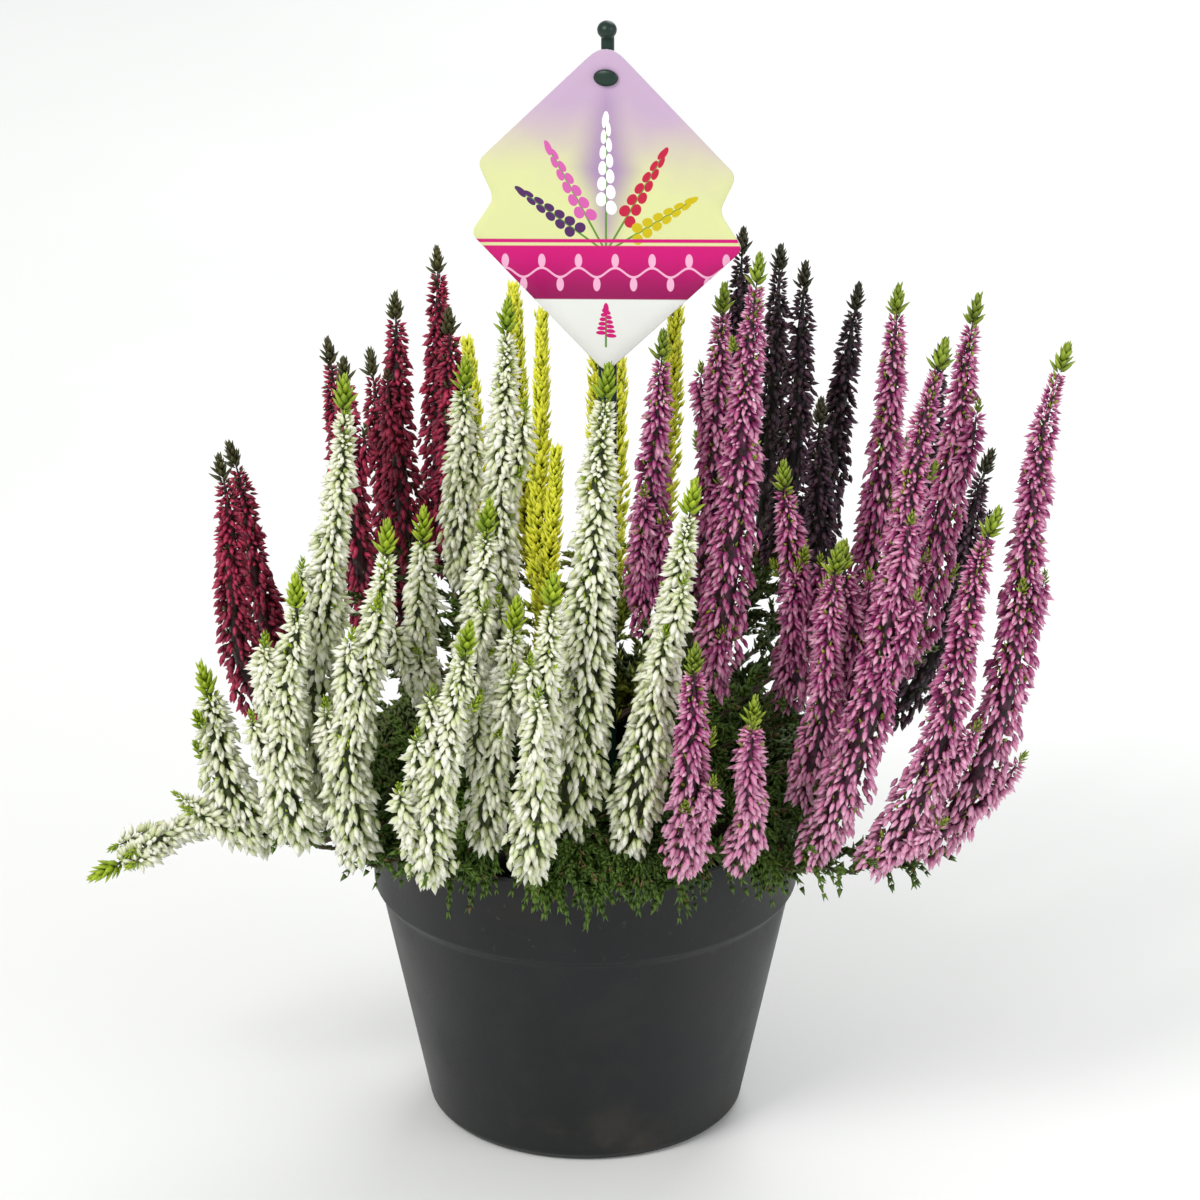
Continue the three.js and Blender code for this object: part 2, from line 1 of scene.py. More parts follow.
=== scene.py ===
import json
import bpy
import numpy as np
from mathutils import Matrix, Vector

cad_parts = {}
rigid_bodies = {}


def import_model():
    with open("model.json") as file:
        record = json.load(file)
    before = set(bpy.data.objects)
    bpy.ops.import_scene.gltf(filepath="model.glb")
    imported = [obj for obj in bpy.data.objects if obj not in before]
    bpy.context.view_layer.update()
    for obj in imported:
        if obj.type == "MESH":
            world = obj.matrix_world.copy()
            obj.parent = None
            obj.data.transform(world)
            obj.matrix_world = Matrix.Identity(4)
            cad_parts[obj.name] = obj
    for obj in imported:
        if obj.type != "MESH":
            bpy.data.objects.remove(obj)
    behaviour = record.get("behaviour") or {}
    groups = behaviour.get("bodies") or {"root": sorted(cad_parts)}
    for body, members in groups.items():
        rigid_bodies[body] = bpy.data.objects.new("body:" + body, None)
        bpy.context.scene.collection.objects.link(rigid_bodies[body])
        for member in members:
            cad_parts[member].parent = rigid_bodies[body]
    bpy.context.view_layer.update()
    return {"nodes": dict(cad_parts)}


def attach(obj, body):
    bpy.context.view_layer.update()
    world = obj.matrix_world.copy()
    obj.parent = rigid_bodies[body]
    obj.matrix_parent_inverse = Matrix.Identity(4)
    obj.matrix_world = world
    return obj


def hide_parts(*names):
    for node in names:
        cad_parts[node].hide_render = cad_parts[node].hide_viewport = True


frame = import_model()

MM = 0.001

# Nursery pot: one thin shell of charcoal plastic, moulded in one piece, with a straight collar
# that steps out near the top, a small bead round its rim and six round drain holes in its floor.
# It stands on the floor by itself and holds everything else.
POT_HEIGHT = 93
POT_RIM = 61
POT_FOOT = 44
POT_WALL = 1
POT_FLOOR = 1.4
FOOT_CHAMFER = 2
COLLAR = 25
COLLAR_STEP = 1.8
COLLAR_FLARE = 1.2
BEAD = 0.8
DRAINS = 6
DRAIN_CIRCLE = 30
DRAIN_RADIUS = 4
DRAIN_SIDES = 28
POT_SIDES = 104
CORNER_STEPS = 5
POT_COLOUR = "#0b0d0f"
# Painted sheen: a lighter, bluish charcoal laid on in broad patches, where a reflection would show.
POT_PAINTED_SHEEN = "#121518"
POT_DUST = "#4a443b"


def unit(vectors):
    """Each vector divided by its own length."""
    return vectors / np.linalg.norm(vectors, axis=-1, keepdims=True)


def rounded(corners, steps):
    """A closed outline whose corners (x, y, round) are replaced by quadratic curves, which leave
    the sides at the distance round from the corner. At a share of the curve, its start weighs as
    the square of what is left, its end as the square of the share and the corner as twice their
    product."""
    corner = np.array(corners, float)
    at = corner[:, :2]
    cut = corner[:, 2:]
    start = at + unit(np.roll(at, 1, 0) - at) * cut
    end = at + unit(np.roll(at, -1, 0) - at) * cut
    t = np.linspace(0, 1, steps)[:, None]
    curve = (1 - t) ** 2 * start[:, None] + 2 * t * (1 - t) * at[:, None] + t**2 * end[:, None]
    return curve.reshape(-1, 2)


def closed(first, rings, last):
    """Closed bodies, one for each row: a pole, rings of points that run counterclockwise round
    the way from first to last, and a pole. Returns their points and the triangles of one body."""
    bodies, count, around = rings.shape[:3]
    points = np.concatenate([first[:, None], rings.reshape(bodies, -1, 3), last[:, None]], 1)
    here = np.arange(around)
    beside = (here + 1) % around
    ring = 1 + around * np.arange(count)[:, None]
    low, high = ring[:-1], ring[1:]
    lower = np.stack([low + here, low + beside, high + beside], -1).reshape(-1, 3)
    upper = np.stack([low + here, high + beside, high + here], -1).reshape(-1, 3)
    foot = np.stack([0 * here, 1 + beside, 1 + here], -1)
    top = 0 * here + ring[-1] + around
    tip = np.stack([top, ring[-1] + here, ring[-1] + beside], -1)
    return points, np.concatenate([foot, lower, upper, tip])


def circle(sides):
    """Equal angles once round, in radians, from 0."""
    return np.linspace(0, 2 * np.pi, sides, endpoint=False)


def turned(outline, sides):
    """The closed body that an outline of (radius, height) sweeps round the Z axis; the outline
    starts and ends on the axis and runs up the outside."""
    angle = circle(sides)
    radius, height = outline[1:-1, :1], outline[1:-1, 1:]
    rings = np.stack([radius * np.cos(angle), radius * np.sin(angle), height + 0 * angle], -1)
    poles = np.array([[[0, 0, outline[0, 1]]], [[0, 0, outline[-1, 1]]]], float)
    return closed(poles[0], rings[None], poles[1])


def new_mesh(name, points, faces, marks=None):
    """A smooth mesh of points in millimetres, with each mark written as a number on its points."""
    mesh = bpy.data.meshes.new(name)
    mesh.vertices.add(len(points))
    mesh.vertices.foreach_set("co", (points * MM).astype(np.float32).ravel())
    mesh.loops.add(3 * len(faces))
    mesh.loops.foreach_set("vertex_index", faces.astype(np.int32).ravel())
    mesh.polygons.add(len(faces))
    mesh.polygons.foreach_set("loop_start", np.arange(0, 3 * len(faces), 3, dtype=np.int32))
    for mark, values in (marks or {}).items():
        layer = mesh.attributes.new(mark, "FLOAT", "POINT")
        layer.data.foreach_set("value", values.astype(np.float32).ravel())
    mesh.update(calc_edges=True)
    mesh.shade_smooth()
    return mesh


def new_piece(name, mesh, finish, slot, *nodes):
    """An object that shows the mesh in its finish, rides on the part and stands for CAD nodes."""
    piece = bpy.data.objects.new(name, mesh)
    bpy.context.scene.collection.objects.link(piece)
    mesh.materials.append(finish)
    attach(piece, "root")
    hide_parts(*nodes)
    return piece


class Shade:
    """An output of a shader node. Arithmetic on it adds Math nodes, so that a formula reads as
    one."""

    def __init__(self, tree, socket=None):
        self.tree = tree
        self.socket = socket

    def node(self, kind, settings, inputs, output=0):
        """Adds a node: its settings come first, then its inputs as numbers or as other shades."""
        made = self.tree.nodes.new("ShaderNode" + kind)
        for key, value in settings.items():
            setattr(made, key, value)
        for key, value in inputs.items():
            if isinstance(value, Shade):
                self.tree.links.new(value.socket, made.inputs[key])
            else:
                made.inputs[key].default_value = value
        return Shade(self.tree, made.outputs[output])

    def math(self, operation, *others):
        values = dict(enumerate((self, *others)))
        return self.node("Math", {"operation": operation}, values)

    def __add__(self, other):
        return self.math("ADD", other)

    def __sub__(self, other):
        return self.math("SUBTRACT", other)

    def __rsub__(self, other):
        return self.node("Math", {"operation": "SUBTRACT"}, {0: other, 1: self})

    def __mul__(self, other):
        return self.math("MULTIPLY", other)

    def __truediv__(self, other):
        return self.math("DIVIDE", other)

    def __pow__(self, other):
        return self.math("POWER", other)

    def __abs__(self):
        return self.math("ABSOLUTE")

    __radd__ = __add__
    __rmul__ = __mul__

    def capped(self):
        """The same number, but no more than 1."""
        return self.math("MINIMUM", 1.0)

    def fade(self, low, high):
        """0 below low, 1 above high and smooth between them; with low above high it falls."""
        ends = {"From Min": min(low, high), "From Max": max(low, high)}
        if low > high:
            ends = {**ends, "To Min": 1.0, "To Max": 0.0}
        settings = {"interpolation_type": "SMOOTHSTEP"}
        return self.node("MapRange", settings, {"Value": self, **ends})

    def mix(self, colour, other):
        """The first colour where this mask is 0 and the other where it is 1."""
        pair = {6: shown(colour), 7: shown(other)}
        return self.node("Mix", {"data_type": "RGBA"}, {0: self, **pair}, 2)

    def mark(self, name):
        """A number that was written on the points of the mesh."""
        return self.node("Attribute", {"attribute_name": name}, {}, "Fac")

    def place(self):
        """Where a point of the piece is, in metres."""
        return self.node("TexCoord", {}, {}, "Object")

    def axis(self, name):
        """The X, Y or Z of a place."""
        return self.node("SeparateXYZ", {}, {0: self}, name)

    def noise(self, at, scale, detail=2.0, roughness=0.5):
        """Smooth noise about 0.5, of scale lumps to the metre."""
        inputs = {"Vector": at, "Scale": scale, "Detail": detail, "Roughness": roughness}
        return self.node("TexNoise", {}, inputs)

    def bump(self, height, distance):
        """A normal that follows the height, distance in metres from 0 to 1."""
        return self.node("Bump", {}, {"Height": height, "Distance": distance}, "Normal")


def shown(colour):
    """A colour written as on a screen, turned into the linear one that Blender's nodes take."""
    if isinstance(colour, Shade):
        return colour
    parts = np.array([int(colour[i : i + 2], 16) for i in (1, 3, 5)]) / 255
    linear = np.where(parts <= 0.04045, parts / 12.92, ((parts + 0.055) / 1.055) ** 2.4)
    return (*linear, 1.0)


def new_finish(name, paint, **steady):
    """A Principled material: paint gives what varies over the surface, steady what doesn't."""
    made = bpy.data.materials.new(name)
    made.use_nodes = True
    shader = made.node_tree.nodes["Principled BSDF"]
    for key, value in steady.items():
        shader.inputs[key.replace("_", " ")].default_value = value
    for key, value in paint(Shade(made.node_tree)).items():
        made.node_tree.links.new(value.socket, shader.inputs[key])
    return made


def pot_paint(shade):
    """Charcoal with a faint bluish sheen painted into its colour in broad patches, dust low on
    the wall and specks of soil near the rim, over the fine orange peel of a moulded wall."""
    at = shade.place()
    height = at.axis("Z") / (POT_HEIGHT * MM)
    # Broad patches of painted sheen, a little rougher as well.
    patches = shade.noise(at, 28, 3.0).fade(0.38, 0.66)
    grain = shade.noise(at, 1500, 3.0, 0.6)
    specks = shade.noise(at, 420, 4.0, 0.65).fade(0.62, 0.72) * height.fade(0.35, 1.0)
    film = shade.noise(at, 60, 4.0, 0.6).fade(0.45, 0.75) * (height.fade(0.3, 0.0) * 0.35 + 0.1)
    colour = (film + specks * 0.45).mix(patches.mix(POT_COLOUR, POT_PAINTED_SHEEN), POT_DUST)
    rough = grain * 0.12 + patches * 0.1 + film * 0.4 + 0.36
    return {
        "Base Color": colour,
        "Roughness": rough,
        "Normal": shade.bump(grain + shade.noise(at, 90) * 2.0, 0.00004),
    }


def pot_outline():
    """Half a section of the pot: floor, chamfered foot, wall, collar and bead, then the inside
    one wall thickness in. Corners (radius, height, round) are rounded as moulded plastic is, and
    the points round the two that lie on the axis are dropped."""
    wall_top = POT_HEIGHT - COLLAR
    collar_top = POT_RIM - BEAD
    neck = collar_top - COLLAR_FLARE - COLLAR_STEP
    low = POT_FOOT - FOOT_CHAMFER
    inside = POT_WALL
    corners = [
        (0, 0, 0),
        (low, 0, 0.8),
        (POT_FOOT, FOOT_CHAMFER, 0.8),
        (neck, wall_top - COLLAR_STEP, 1.2),
        (neck + COLLAR_STEP, wall_top, 0.8),
        (collar_top, POT_HEIGHT - 2 * BEAD, 0.5),
        (POT_RIM, POT_HEIGHT - 2 * BEAD, 0.25),
        (POT_RIM, POT_HEIGHT, 0.35),
        (collar_top - inside, POT_HEIGHT, 0.35),
        (neck + COLLAR_STEP - inside, wall_top, 0.8),
        (neck - inside, wall_top - COLLAR_STEP, 1.2),
        (POT_FOOT - inside, POT_FLOOR + 1, 0.6),
        (POT_FOOT - 2 * inside, POT_FLOOR, 0.6),
        (0, POT_FLOOR, 0),
    ]
    return rounded(corners, CORNER_STEPS)[CORNER_STEPS - 1 : 1 - CORNER_STEPS]


def drilled(points, faces, cutter_points, cutter_faces):
    """The first body with the others cut out of it by a Boolean modifier, as a new mesh."""
    scene = bpy.context.scene.collection.objects
    body = bpy.data.objects.new("whole", new_mesh("whole", points, faces))
    cutter = bpy.data.objects.new("cutter", new_mesh("cutter", cutter_points, cutter_faces))
    scene.link(body)
    scene.link(cutter)
    cut = body.modifiers.new("cut", "BOOLEAN")
    cut.object = cutter
    cut.solver = "EXACT"
    seen = body.evaluated_get(bpy.context.evaluated_depsgraph_get())
    mesh = bpy.data.meshes.new_from_object(seen)
    for done in (body, cutter):
        bpy.data.objects.remove(done)
    return mesh


def many(points, faces):
    """The points of several bodies in one list, and the triangles of each, moved along to suit."""
    start = points.shape[1] * np.arange(len(points))
    return points.reshape(-1, 3), (faces + start[:, None, None]).reshape(-1, 3)


def drains():
    """Upright pins spread evenly round the drain circle, each a ring of points at two heights."""
    turn = np.radians(360 / DRAINS * (np.arange(DRAINS) + 0.5))
    centre = DRAIN_CIRCLE * np.stack([np.cos(turn), np.sin(turn), 0 * turn], -1)
    angle = circle(DRAIN_SIDES)
    ring = DRAIN_RADIUS * np.stack([np.cos(angle), np.sin(angle), 0 * angle], -1)
    ends = np.array([[0, 0, -POT_FLOOR], [0, 0, 2 * POT_FLOOR]])
    rings = centre[:, None, None] + ends[None, :, None] + ring
    return many(*closed(centre + ends[0], rings, centre + ends[1]))


pot_points, pot_faces = turned(pot_outline(), POT_SIDES)
pot_mesh = drilled(pot_points[0], pot_faces, *drains())
pot_mesh.shade_smooth()
pot_finish = new_finish("charcoal pot plastic", pot_paint, Specular_IOR_Level=0.35)
new_piece("pot", pot_mesh, pot_finish, "pot_plastic", "nursery_pot")

# Potting soil: dark peat that fills the pot to just below its rim, a little higher in the middle,
# with loose crumbs on top. The crowns of the five plants stand in it.
SOIL_TOP = 84
SOIL_DOME = 2.5
SOIL_CLEARANCE = 0.3
SOIL_FLARE = 0.7
SOIL_EDGE = 58
SOIL_SIDES = 96
SOIL_RINGS = 28
RUFFLE_WAVES = 5
RUFFLE_LENGTH = 14
RUFFLE_HEIGHT = 0.42
CALM_EDGE = 4
CRUMBS = 320
CRUMB_CIRCLE = 55
CRUMB_SIZES = (0.5, 1.8)
LUMP = [(0.2, 0.8), (0.75, 0.8)]
PEAT_DARK = "#1c130d"
PEAT_LIGHT = "#4a3524"
chance = np.random.default_rng(5)


def ruffle(x, y):
    """Uneven ground: waves of several lengths and headings added up, each about half as long and
    three fifths as high as the one before. The sine of each is bent by another across it."""
    steps = np.arange(RUFFLE_WAVES)
    length = RUFFLE_LENGTH * 0.55**steps
    heading = 2.4 * steps
    across = x[..., None] * np.cos(heading) + y[..., None] * np.sin(heading)
    waves = np.sin(2 * np.pi * across / length + 3 * np.sin(x[..., None] / length + steps))
    return RUFFLE_HEIGHT * (waves * 0.62**steps).sum(-1)


def soil_body():
    """Rings from the middle of the underside out, up inside the wall and back over the top,
    where the height is the dome plus the ruffle, calmer close to the wall."""
    wall_top = POT_HEIGHT - COLLAR
    inside = POT_WALL + SOIL_CLEARANCE
    neck = POT_RIM - BEAD - COLLAR_FLARE - COLLAR_STEP
    base = POT_FLOOR + SOIL_CLEARANCE
    wall = [
        (POT_FOOT - inside - FOOT_CHAMFER, base),
        (POT_FOOT - inside, base + FOOT_CHAMFER),
        (neck - inside, wall_top - COLLAR_STEP),
        (neck - inside + COLLAR_STEP, wall_top),
        (neck - inside + COLLAR_STEP + SOIL_FLARE * COLLAR_FLARE, SOIL_TOP),
    ]
    edge = wall[-1][0]
    share = np.linspace(1, 0, SOIL_RINGS + 2)[1:-1]
    crown = SOIL_TOP + SOIL_DOME * (1 - share**2)
    top = np.stack([edge * share, crown], -1)
    outline = np.concatenate([[(0, base)], wall, top, [(0, SOIL_TOP + SOIL_DOME)]])
    points, faces = turned(outline, SOIL_SIDES)
    x, y, z = points[0].T
    calm = np.clip((edge - np.hypot(x, y)) / CALM_EDGE, 0, 1)
    z += np.where(z > SOIL_TOP, ruffle(x, y) * calm, 0)
    return points, faces


def crumbs():
    """Loose lumps strewn evenly over the soil: squat pods, most of them 1 mm across and a few up
    to 3 mm."""
    small, large = CRUMB_SIZES
    size = small + (large - small) * chance.random(CRUMBS) ** 3
    out = CRUMB_CIRCLE * np.sqrt(chance.random(CRUMBS))
    turn = 2 * np.pi * chance.random(CRUMBS)
    height = SOIL_TOP + SOIL_DOME * (1 - (out / SOIL_EDGE) ** 2)
    foot = np.stack([out * np.cos(turn), out * np.sin(turn), height - 0.3 * size], -1)
    reach = unit(chance.normal(size=(CRUMBS, 3))) * size[:, None] * 1.6
    return pods(foot, reach, size * 0.9, size * 0.7, 0, LUMP, 5)


def pods(foot, reach, width, depth, bow, stations, sides, facing=None):
    """Closed bodies, pointed at both ends. At a station (share, fullness) the middle lies that
    share of reach and its square of bow away from foot, and the section is an ellipse whose half
    axes are that fullness of width and of depth, with depth towards facing, or towards any way
    across reach where no facing is given."""
    if facing is None:
        facing = np.roll(reach, 1, -1) + 0.3 * reach[..., [1, 2, 0]]
    side = unit(np.cross(reach, facing))
    normal = unit(np.cross(reach, side))
    v, f = np.array(stations, float).T
    angle = circle(sides)
    bow = np.broadcast_to(bow, foot.shape)
    middle = foot[:, None] + reach[:, None] * v[:, None] + bow[:, None] * (v**2)[:, None]
    wide = np.broadcast_to(width, len(foot))[:, None, None] * side[:, None]
    deep = np.broadcast_to(depth, len(foot))[:, None, None] * normal[:, None]
    ring = wide * np.cos(angle)[:, None] + deep * np.sin(angle)[:, None]
    rings = middle[:, :, None] + f[:, None, None] * ring[:, None]
    return closed(foot, rings, foot + reach + bow)


def soil_paint(shade):
    """Dark peat with lighter fibres and crumbs, rough and matt."""
    at = shade.place()
    clods = shade.noise(at, 260, 5.0, 0.65)
    fibres = shade.noise(at, 1400, 3.0, 0.7)
    colour = (clods.fade(0.42, 0.72) * 0.7 + fibres.fade(0.6, 0.8) * 0.3).mix(PEAT_DARK, PEAT_LIGHT)
    return {
        "Base Color": colour,
        "Roughness": fibres * 0.2 + 0.78,
        "Normal": shade.bump(clods + fibres * 0.5, 0.0006),
    }


def joined(*bodies):
    """Several sets of points and triangles as one set."""
    lists = [many(*body) for body in bodies]
    starts = np.cumsum([0] + [len(points) for points, _ in lists])
    points = np.concatenate([points for points, _ in lists])
    return points, np.concatenate([faces + start for (_, faces), start in zip(lists, starts)])


soil_mesh = new_mesh("soil", *joined(soil_body(), crumbs()))
soil_finish = new_finish("peat soil", soil_paint)
new_piece("soil", soil_mesh, soil_finish, "peat", "potting_soil")

# Label stake: a slim dark green plastic strip, pushed deep into the soil, with a round knob that
# stands over the label's top and an oval button on a peg that goes through the label.
STAKE_AT = (6, 1)
STAKE_TOP = 309
STAKE_FOOT = 26
STAKE_WIDTH = 5
STAKE_HEAD = 3.4
STAKE_TAPER = 6
STAKE_POINT = 10
STAKE_ROUND = 0.5
STAKE_DEPTH = 2
STAKE_SIDES = 28
KNOB_RADIUS = 2.6
KNOB_SQUASH = 0.94
KNOB_LIFT = 0.6
KNOB_SIDES = 32
BUTTON_HEIGHT = 298
BUTTON_RADII = (3.3, 2.3)
BUTTON_RISE = 1.2
BUTTON_SIDES = 36
BUTTON_SIDE = 0.3
PEG_RADII = (1.7, 1.2)
PEG_END = 0.8
LABEL_TURN = np.radians(-10)
LABEL_CARD = 0.8
CARD_GAP = 0.3
CARD_BACK = -STAKE_DEPTH / 2 - CARD_GAP
CARD_FRONT = CARD_BACK - LABEL_CARD
EARTH_LINE = (0.100, 0.088)
STAKE_COLOUR = "#0c2018"
# The lighter green is painted light, for patches where light would catch the strip.
STAKE_PAINTED_LIGHT = "#16382d"


def on_stake(points):
    """Points given beside the stake, x across the label and y to its back, turned and placed."""
    x, y, z = np.moveaxis(points, -1, 0)
    cos, sin = np.cos(LABEL_TURN), np.sin(LABEL_TURN)
    return np.stack([STAKE_AT[0] + x * cos - y * sin, STAKE_AT[1] + x * sin + y * cos, z], -1)


def strip():
    """An upright bar, drawn in to a point at the foot and to a narrow head above the button. Its
    section is a rounded oblong: the fourth powers of x and y, in half widths, add up to one."""
    length = STAKE_TOP - STAKE_FOOT
    waist = BUTTON_HEIGHT - STAKE_FOOT
    head = STAKE_HEAD / STAKE_WIDTH
    neck = waist + STAKE_TAPER
    edge = length - STAKE_ROUND
    rise = np.array([0.2, 3, 6, 8.5, STAKE_POINT, 12, 100, 200, waist, neck, edge, length])
    width = np.interp(rise, [0, STAKE_POINT, waist, neck], [0.06, 1, 1, head]) * STAKE_WIDTH / 2
    depth = np.interp(rise, [0, 6, edge, length], [0.5, 1, 1, 0.8]) * STAKE_DEPTH / 2
    angle = circle(STAKE_SIDES)
    x, y = np.cos(angle), np.sin(angle)
    x = width[:, None] * np.sign(x) * np.sqrt(np.abs(x))
    y = depth[:, None] * np.sign(y) * np.sqrt(np.abs(y))
    z = STAKE_FOOT + rise[:, None] + 0 * angle
    first = np.array([[0, 0, STAKE_FOOT]], float)
    last = np.array([[0, 0, STAKE_TOP]], float)
    return closed(first, np.stack([x, y, z], -1)[None], last)


def dome(radii, centre, back, front):
    """A button on a level axis that points forward, from back to front in y: a straight side
    and a face that curves over as a quarter of an ellipse."""
    over = np.linspace(0, np.pi / 2, 9)[:-1]
    size = np.concatenate([[0.9, 1.0], np.cos(over)])
    side = back - BUTTON_SIDE
    depth = np.concatenate([[back, back - 0.1], side + (front - side) * np.sin(over)])
    angle = -circle(BUTTON_SIDES)
    x = centre[0] - radii[0] * size[:, None] * np.sin(angle)
    z = centre[1] + radii[1] * size[:, None] * np.cos(angle)
    y = depth[:, None] + 0 * angle
    ends = [np.array([[centre[0], end, centre[1]]], float) for end in (back, front)]
    return closed(ends[0], np.stack([x, y, z], -1)[None], ends[1])


def knob():
    """A ball, a little flattened from top to bottom, that sits over the head of the strip and a
    little forward of it."""
    rise = np.linspace(-np.pi / 2, np.pi / 2, 17)
    outline = KNOB_RADIUS * np.stack([np.cos(rise), KNOB_SQUASH * np.sin(rise)], -1)
    points, faces = turned(outline, KNOB_SIDES)
    return points + [0, -STAKE_DEPTH / 2, STAKE_TOP + KNOB_LIFT * KNOB_RADIUS], faces


def stake_paint(shade):
    """Dark green with painted light: a little lighter in cloudy patches, as where light would
    catch it, with faint lengthwise draw lines and earth on the part that is pushed in."""
    at = shade.place()
    height = at.axis("Z")
    stretch = shade.node("Mapping", {}, {"Vector": at, "Scale": (1.0, 1.0, 0.03)})
    lines = shade.noise(stretch, 2600, 2.0)
    cloud = shade.noise(at, 120, 3.0)
    earth = height.fade(*EARTH_LINE) * shade.noise(at, 700, 4.0).fade(0.4, 0.6)
    # Cloudy patches of painted light, and the draw lines, lighten the green.
    colour = earth.mix((cloud * 0.6 + lines * 0.3).mix(STAKE_COLOUR, STAKE_PAINTED_LIGHT), PEAT_LIGHT)
    return {
        "Base Color": colour,
        "Roughness": lines * 0.15 + cloud * 0.1 + 0.26,
        "Normal": shade.bump(lines, 0.00003),
    }


seat = CARD_FRONT - CARD_GAP
button = dome(BUTTON_RADII, (0, BUTTON_HEIGHT), seat, seat - BUTTON_RISE)
peg = dome(PEG_RADII, (0, BUTTON_HEIGHT), 0, CARD_FRONT - PEG_END)
stake_points, stake_faces = joined(strip(), button, peg, knob())
stake_mesh = new_mesh("stake", on_stake(stake_points), stake_faces)
stake_finish = new_finish("dark green stake plastic", stake_paint, Specular_IOR_Level=0.4)
new_piece("stake", stake_mesh, stake_finish, "stake_plastic", "label_stake")

# Plant label: a printed, varnished card cut as a tall diamond with rounded corners and a notch at
# each side. It hangs before the stake, held by the button, and shows five sprigs in five colours
# over a magenta band.
LABEL_WIDTH = 74
LABEL_SHOULDERS = 70
LABEL_TOP = 308
LABEL_MIDDLE = 263
LABEL_BOTTOM = 216
ROUND_TOP = 7
ROUND_BOTTOM = 3
ROUND_SIDES = 2.5
NOTCH_DEPTH = 4.5
NOTCH_HEIGHT = 20
CUT_EDGE = 0.12
OUTLINE_STEPS = 9
LILAC = "#c4a9c6"
PALE_YELLOW = "#dde2a2"
CARD_WHITE = "#ebedea"
MAGENTA = "#cf0076"
DEEP_MAGENTA = "#960257"
MAUVE = "#a888b4"
SPRIG_GREEN = "#5d8f2f"
SPRIG_COLOURS = ("#4f2560", "#d45fae", "#ffffff", "#c2173f", "#cdb800")
SPRIG_LEANS = (-56, -29, 0, 29, 56)
SPRIG_FOOT = -13.0
SPRIG_LENGTH = 37.0
SPRIG_LOSS = 0.16
SMALL_SPRIG_FOOT = -40.0
SMALL_SPRIG_LENGTH = 11.0
SPRIG_BARE = 0.22
SPRIG_CELLS = 8.6
SPRIG_SWELL = 3.3
SPRIG_TAPER = 2.4
FLOWER_SEAT = 0.55
FLOWER_LENGTH = 0.46
FLOWER_WIDTH = 0.62
FLOWER_CELLS = (1.0, 7.0)
TIP_LENGTH = 1.9
TIP_WIDTH = 0.8
STALK_EDGE = (0.34, 0.22)
LILAC_FROM = (2.0, 30.0)
GLOW_AT = 10.0
GLOW_EDGE = (22.0, 6.0)
BAND_SLOPE = 0.06
BAND_DEPTH = (-12.0, -26.0)
GARLAND_PINK = "#f2b3d3"
GARLAND_AT = -18.7
VINE_PACE = 0.628
VINE_SWING = 1.3
VINE_EDGE = (0.42, 0.26)
PETAL_PACE = 0.2
PETAL_SEAT = 3.3
PETAL_LENGTH = 0.2
PETAL_WIDTH = 1.9
BAND_TOP = (-11.0, -11.4)
BAND_FOOT = (-26.4, -26.0)
LINE_TOP = (-9.2, -9.5)
LINE_FOOT = (-10.5, -10.2)
WHITE_BELOW = (-25.8, -26.2)


def card():
    """The outline scaled about its middle by each of the shares in turn, from the middle of the
    back, round the cut edge, to the middle of the front."""
    half = LABEL_WIDTH / 2
    shoulder = LABEL_SHOULDERS / 2
    right = [
        (half, LABEL_MIDDLE - NOTCH_HEIGHT / 2, ROUND_SIDES),
        (shoulder - NOTCH_DEPTH, LABEL_MIDDLE, ROUND_SIDES),
        (shoulder, LABEL_MIDDLE + NOTCH_HEIGHT / 2, ROUND_SIDES),
    ]
    left = [(-x, z, cut) for x, z, cut in right[::-1]]
    corners = [(0, LABEL_BOTTOM, ROUND_BOTTOM), *right, (0, LABEL_TOP, ROUND_TOP), *left]
    outline = rounded(corners, OUTLINE_STEPS)
    middle = np.array([0, LABEL_MIDDLE])
    share = np.array([0.3, 0.6, 0.9, 0.994, 1, 1, 0.994, 0.9, 0.6, 0.3])
    edge = [CARD_BACK - CUT_EDGE, CARD_FRONT + CUT_EDGE]
    depth = [CARD_BACK] * 4 + edge + [CARD_FRONT] * 4
    flat = middle + share[:, None, None] * (outline - middle)
    y = np.array(depth)[:, None] + np.zeros(len(outline))
    rings = np.stack([flat[..., 0], y, flat[..., 1]], -1)
    ends = [np.array([[0, end, LABEL_MIDDLE]], float) for end in (CARD_BACK, CARD_FRONT)]
    return closed(ends[0], rings[None], ends[1])


def sprig(x, z, lean, length):
    """A stylised heather sprig as two masks, its flowers and its stalk. Along the stalk u runs
    from 0 to 1 and v is how far to its right a point is. Above a bare foot, equal cells of u
    hold one ellipse each, half a cell apart on the two sides, that narrow towards the tip."""
    sin, cos = np.sin(np.radians(lean)), np.cos(np.radians(lean))
    u = (x * sin + z * cos) / length
    v = x * cos - z * sin
    beside = abs(v)
    swell = SPRIG_SWELL - u * SPRIG_TAPER
    shift = v.math("GREATER_THAN", 0.0) * 0.5
    place = (u - SPRIG_BARE) * SPRIG_CELLS + shift
    cell = place.math("FRACT") - 0.5
    outward = (beside - swell * FLOWER_SEAT) / (swell * FLOWER_WIDTH)
    oval = (cell / FLOWER_LENGTH) ** 2.0 + outward**2.0
    first, last = FLOWER_CELLS
    whole = place.math("GREATER_THAN", first) * place.math("LESS_THAN", last)
    flowers = oval.fade(1.05, 0.85) * whole
    bud = ((u - 1.0) * length / TIP_LENGTH) ** 2.0 + (beside / TIP_WIDTH) ** 2.0
    bud = bud.fade(1.05, 0.8)
    stalk = beside.fade(*STALK_EDGE) * u.fade(0.02, 0.04) * u.fade(0.98, 0.94)
    return (flowers + bud).capped(), stalk


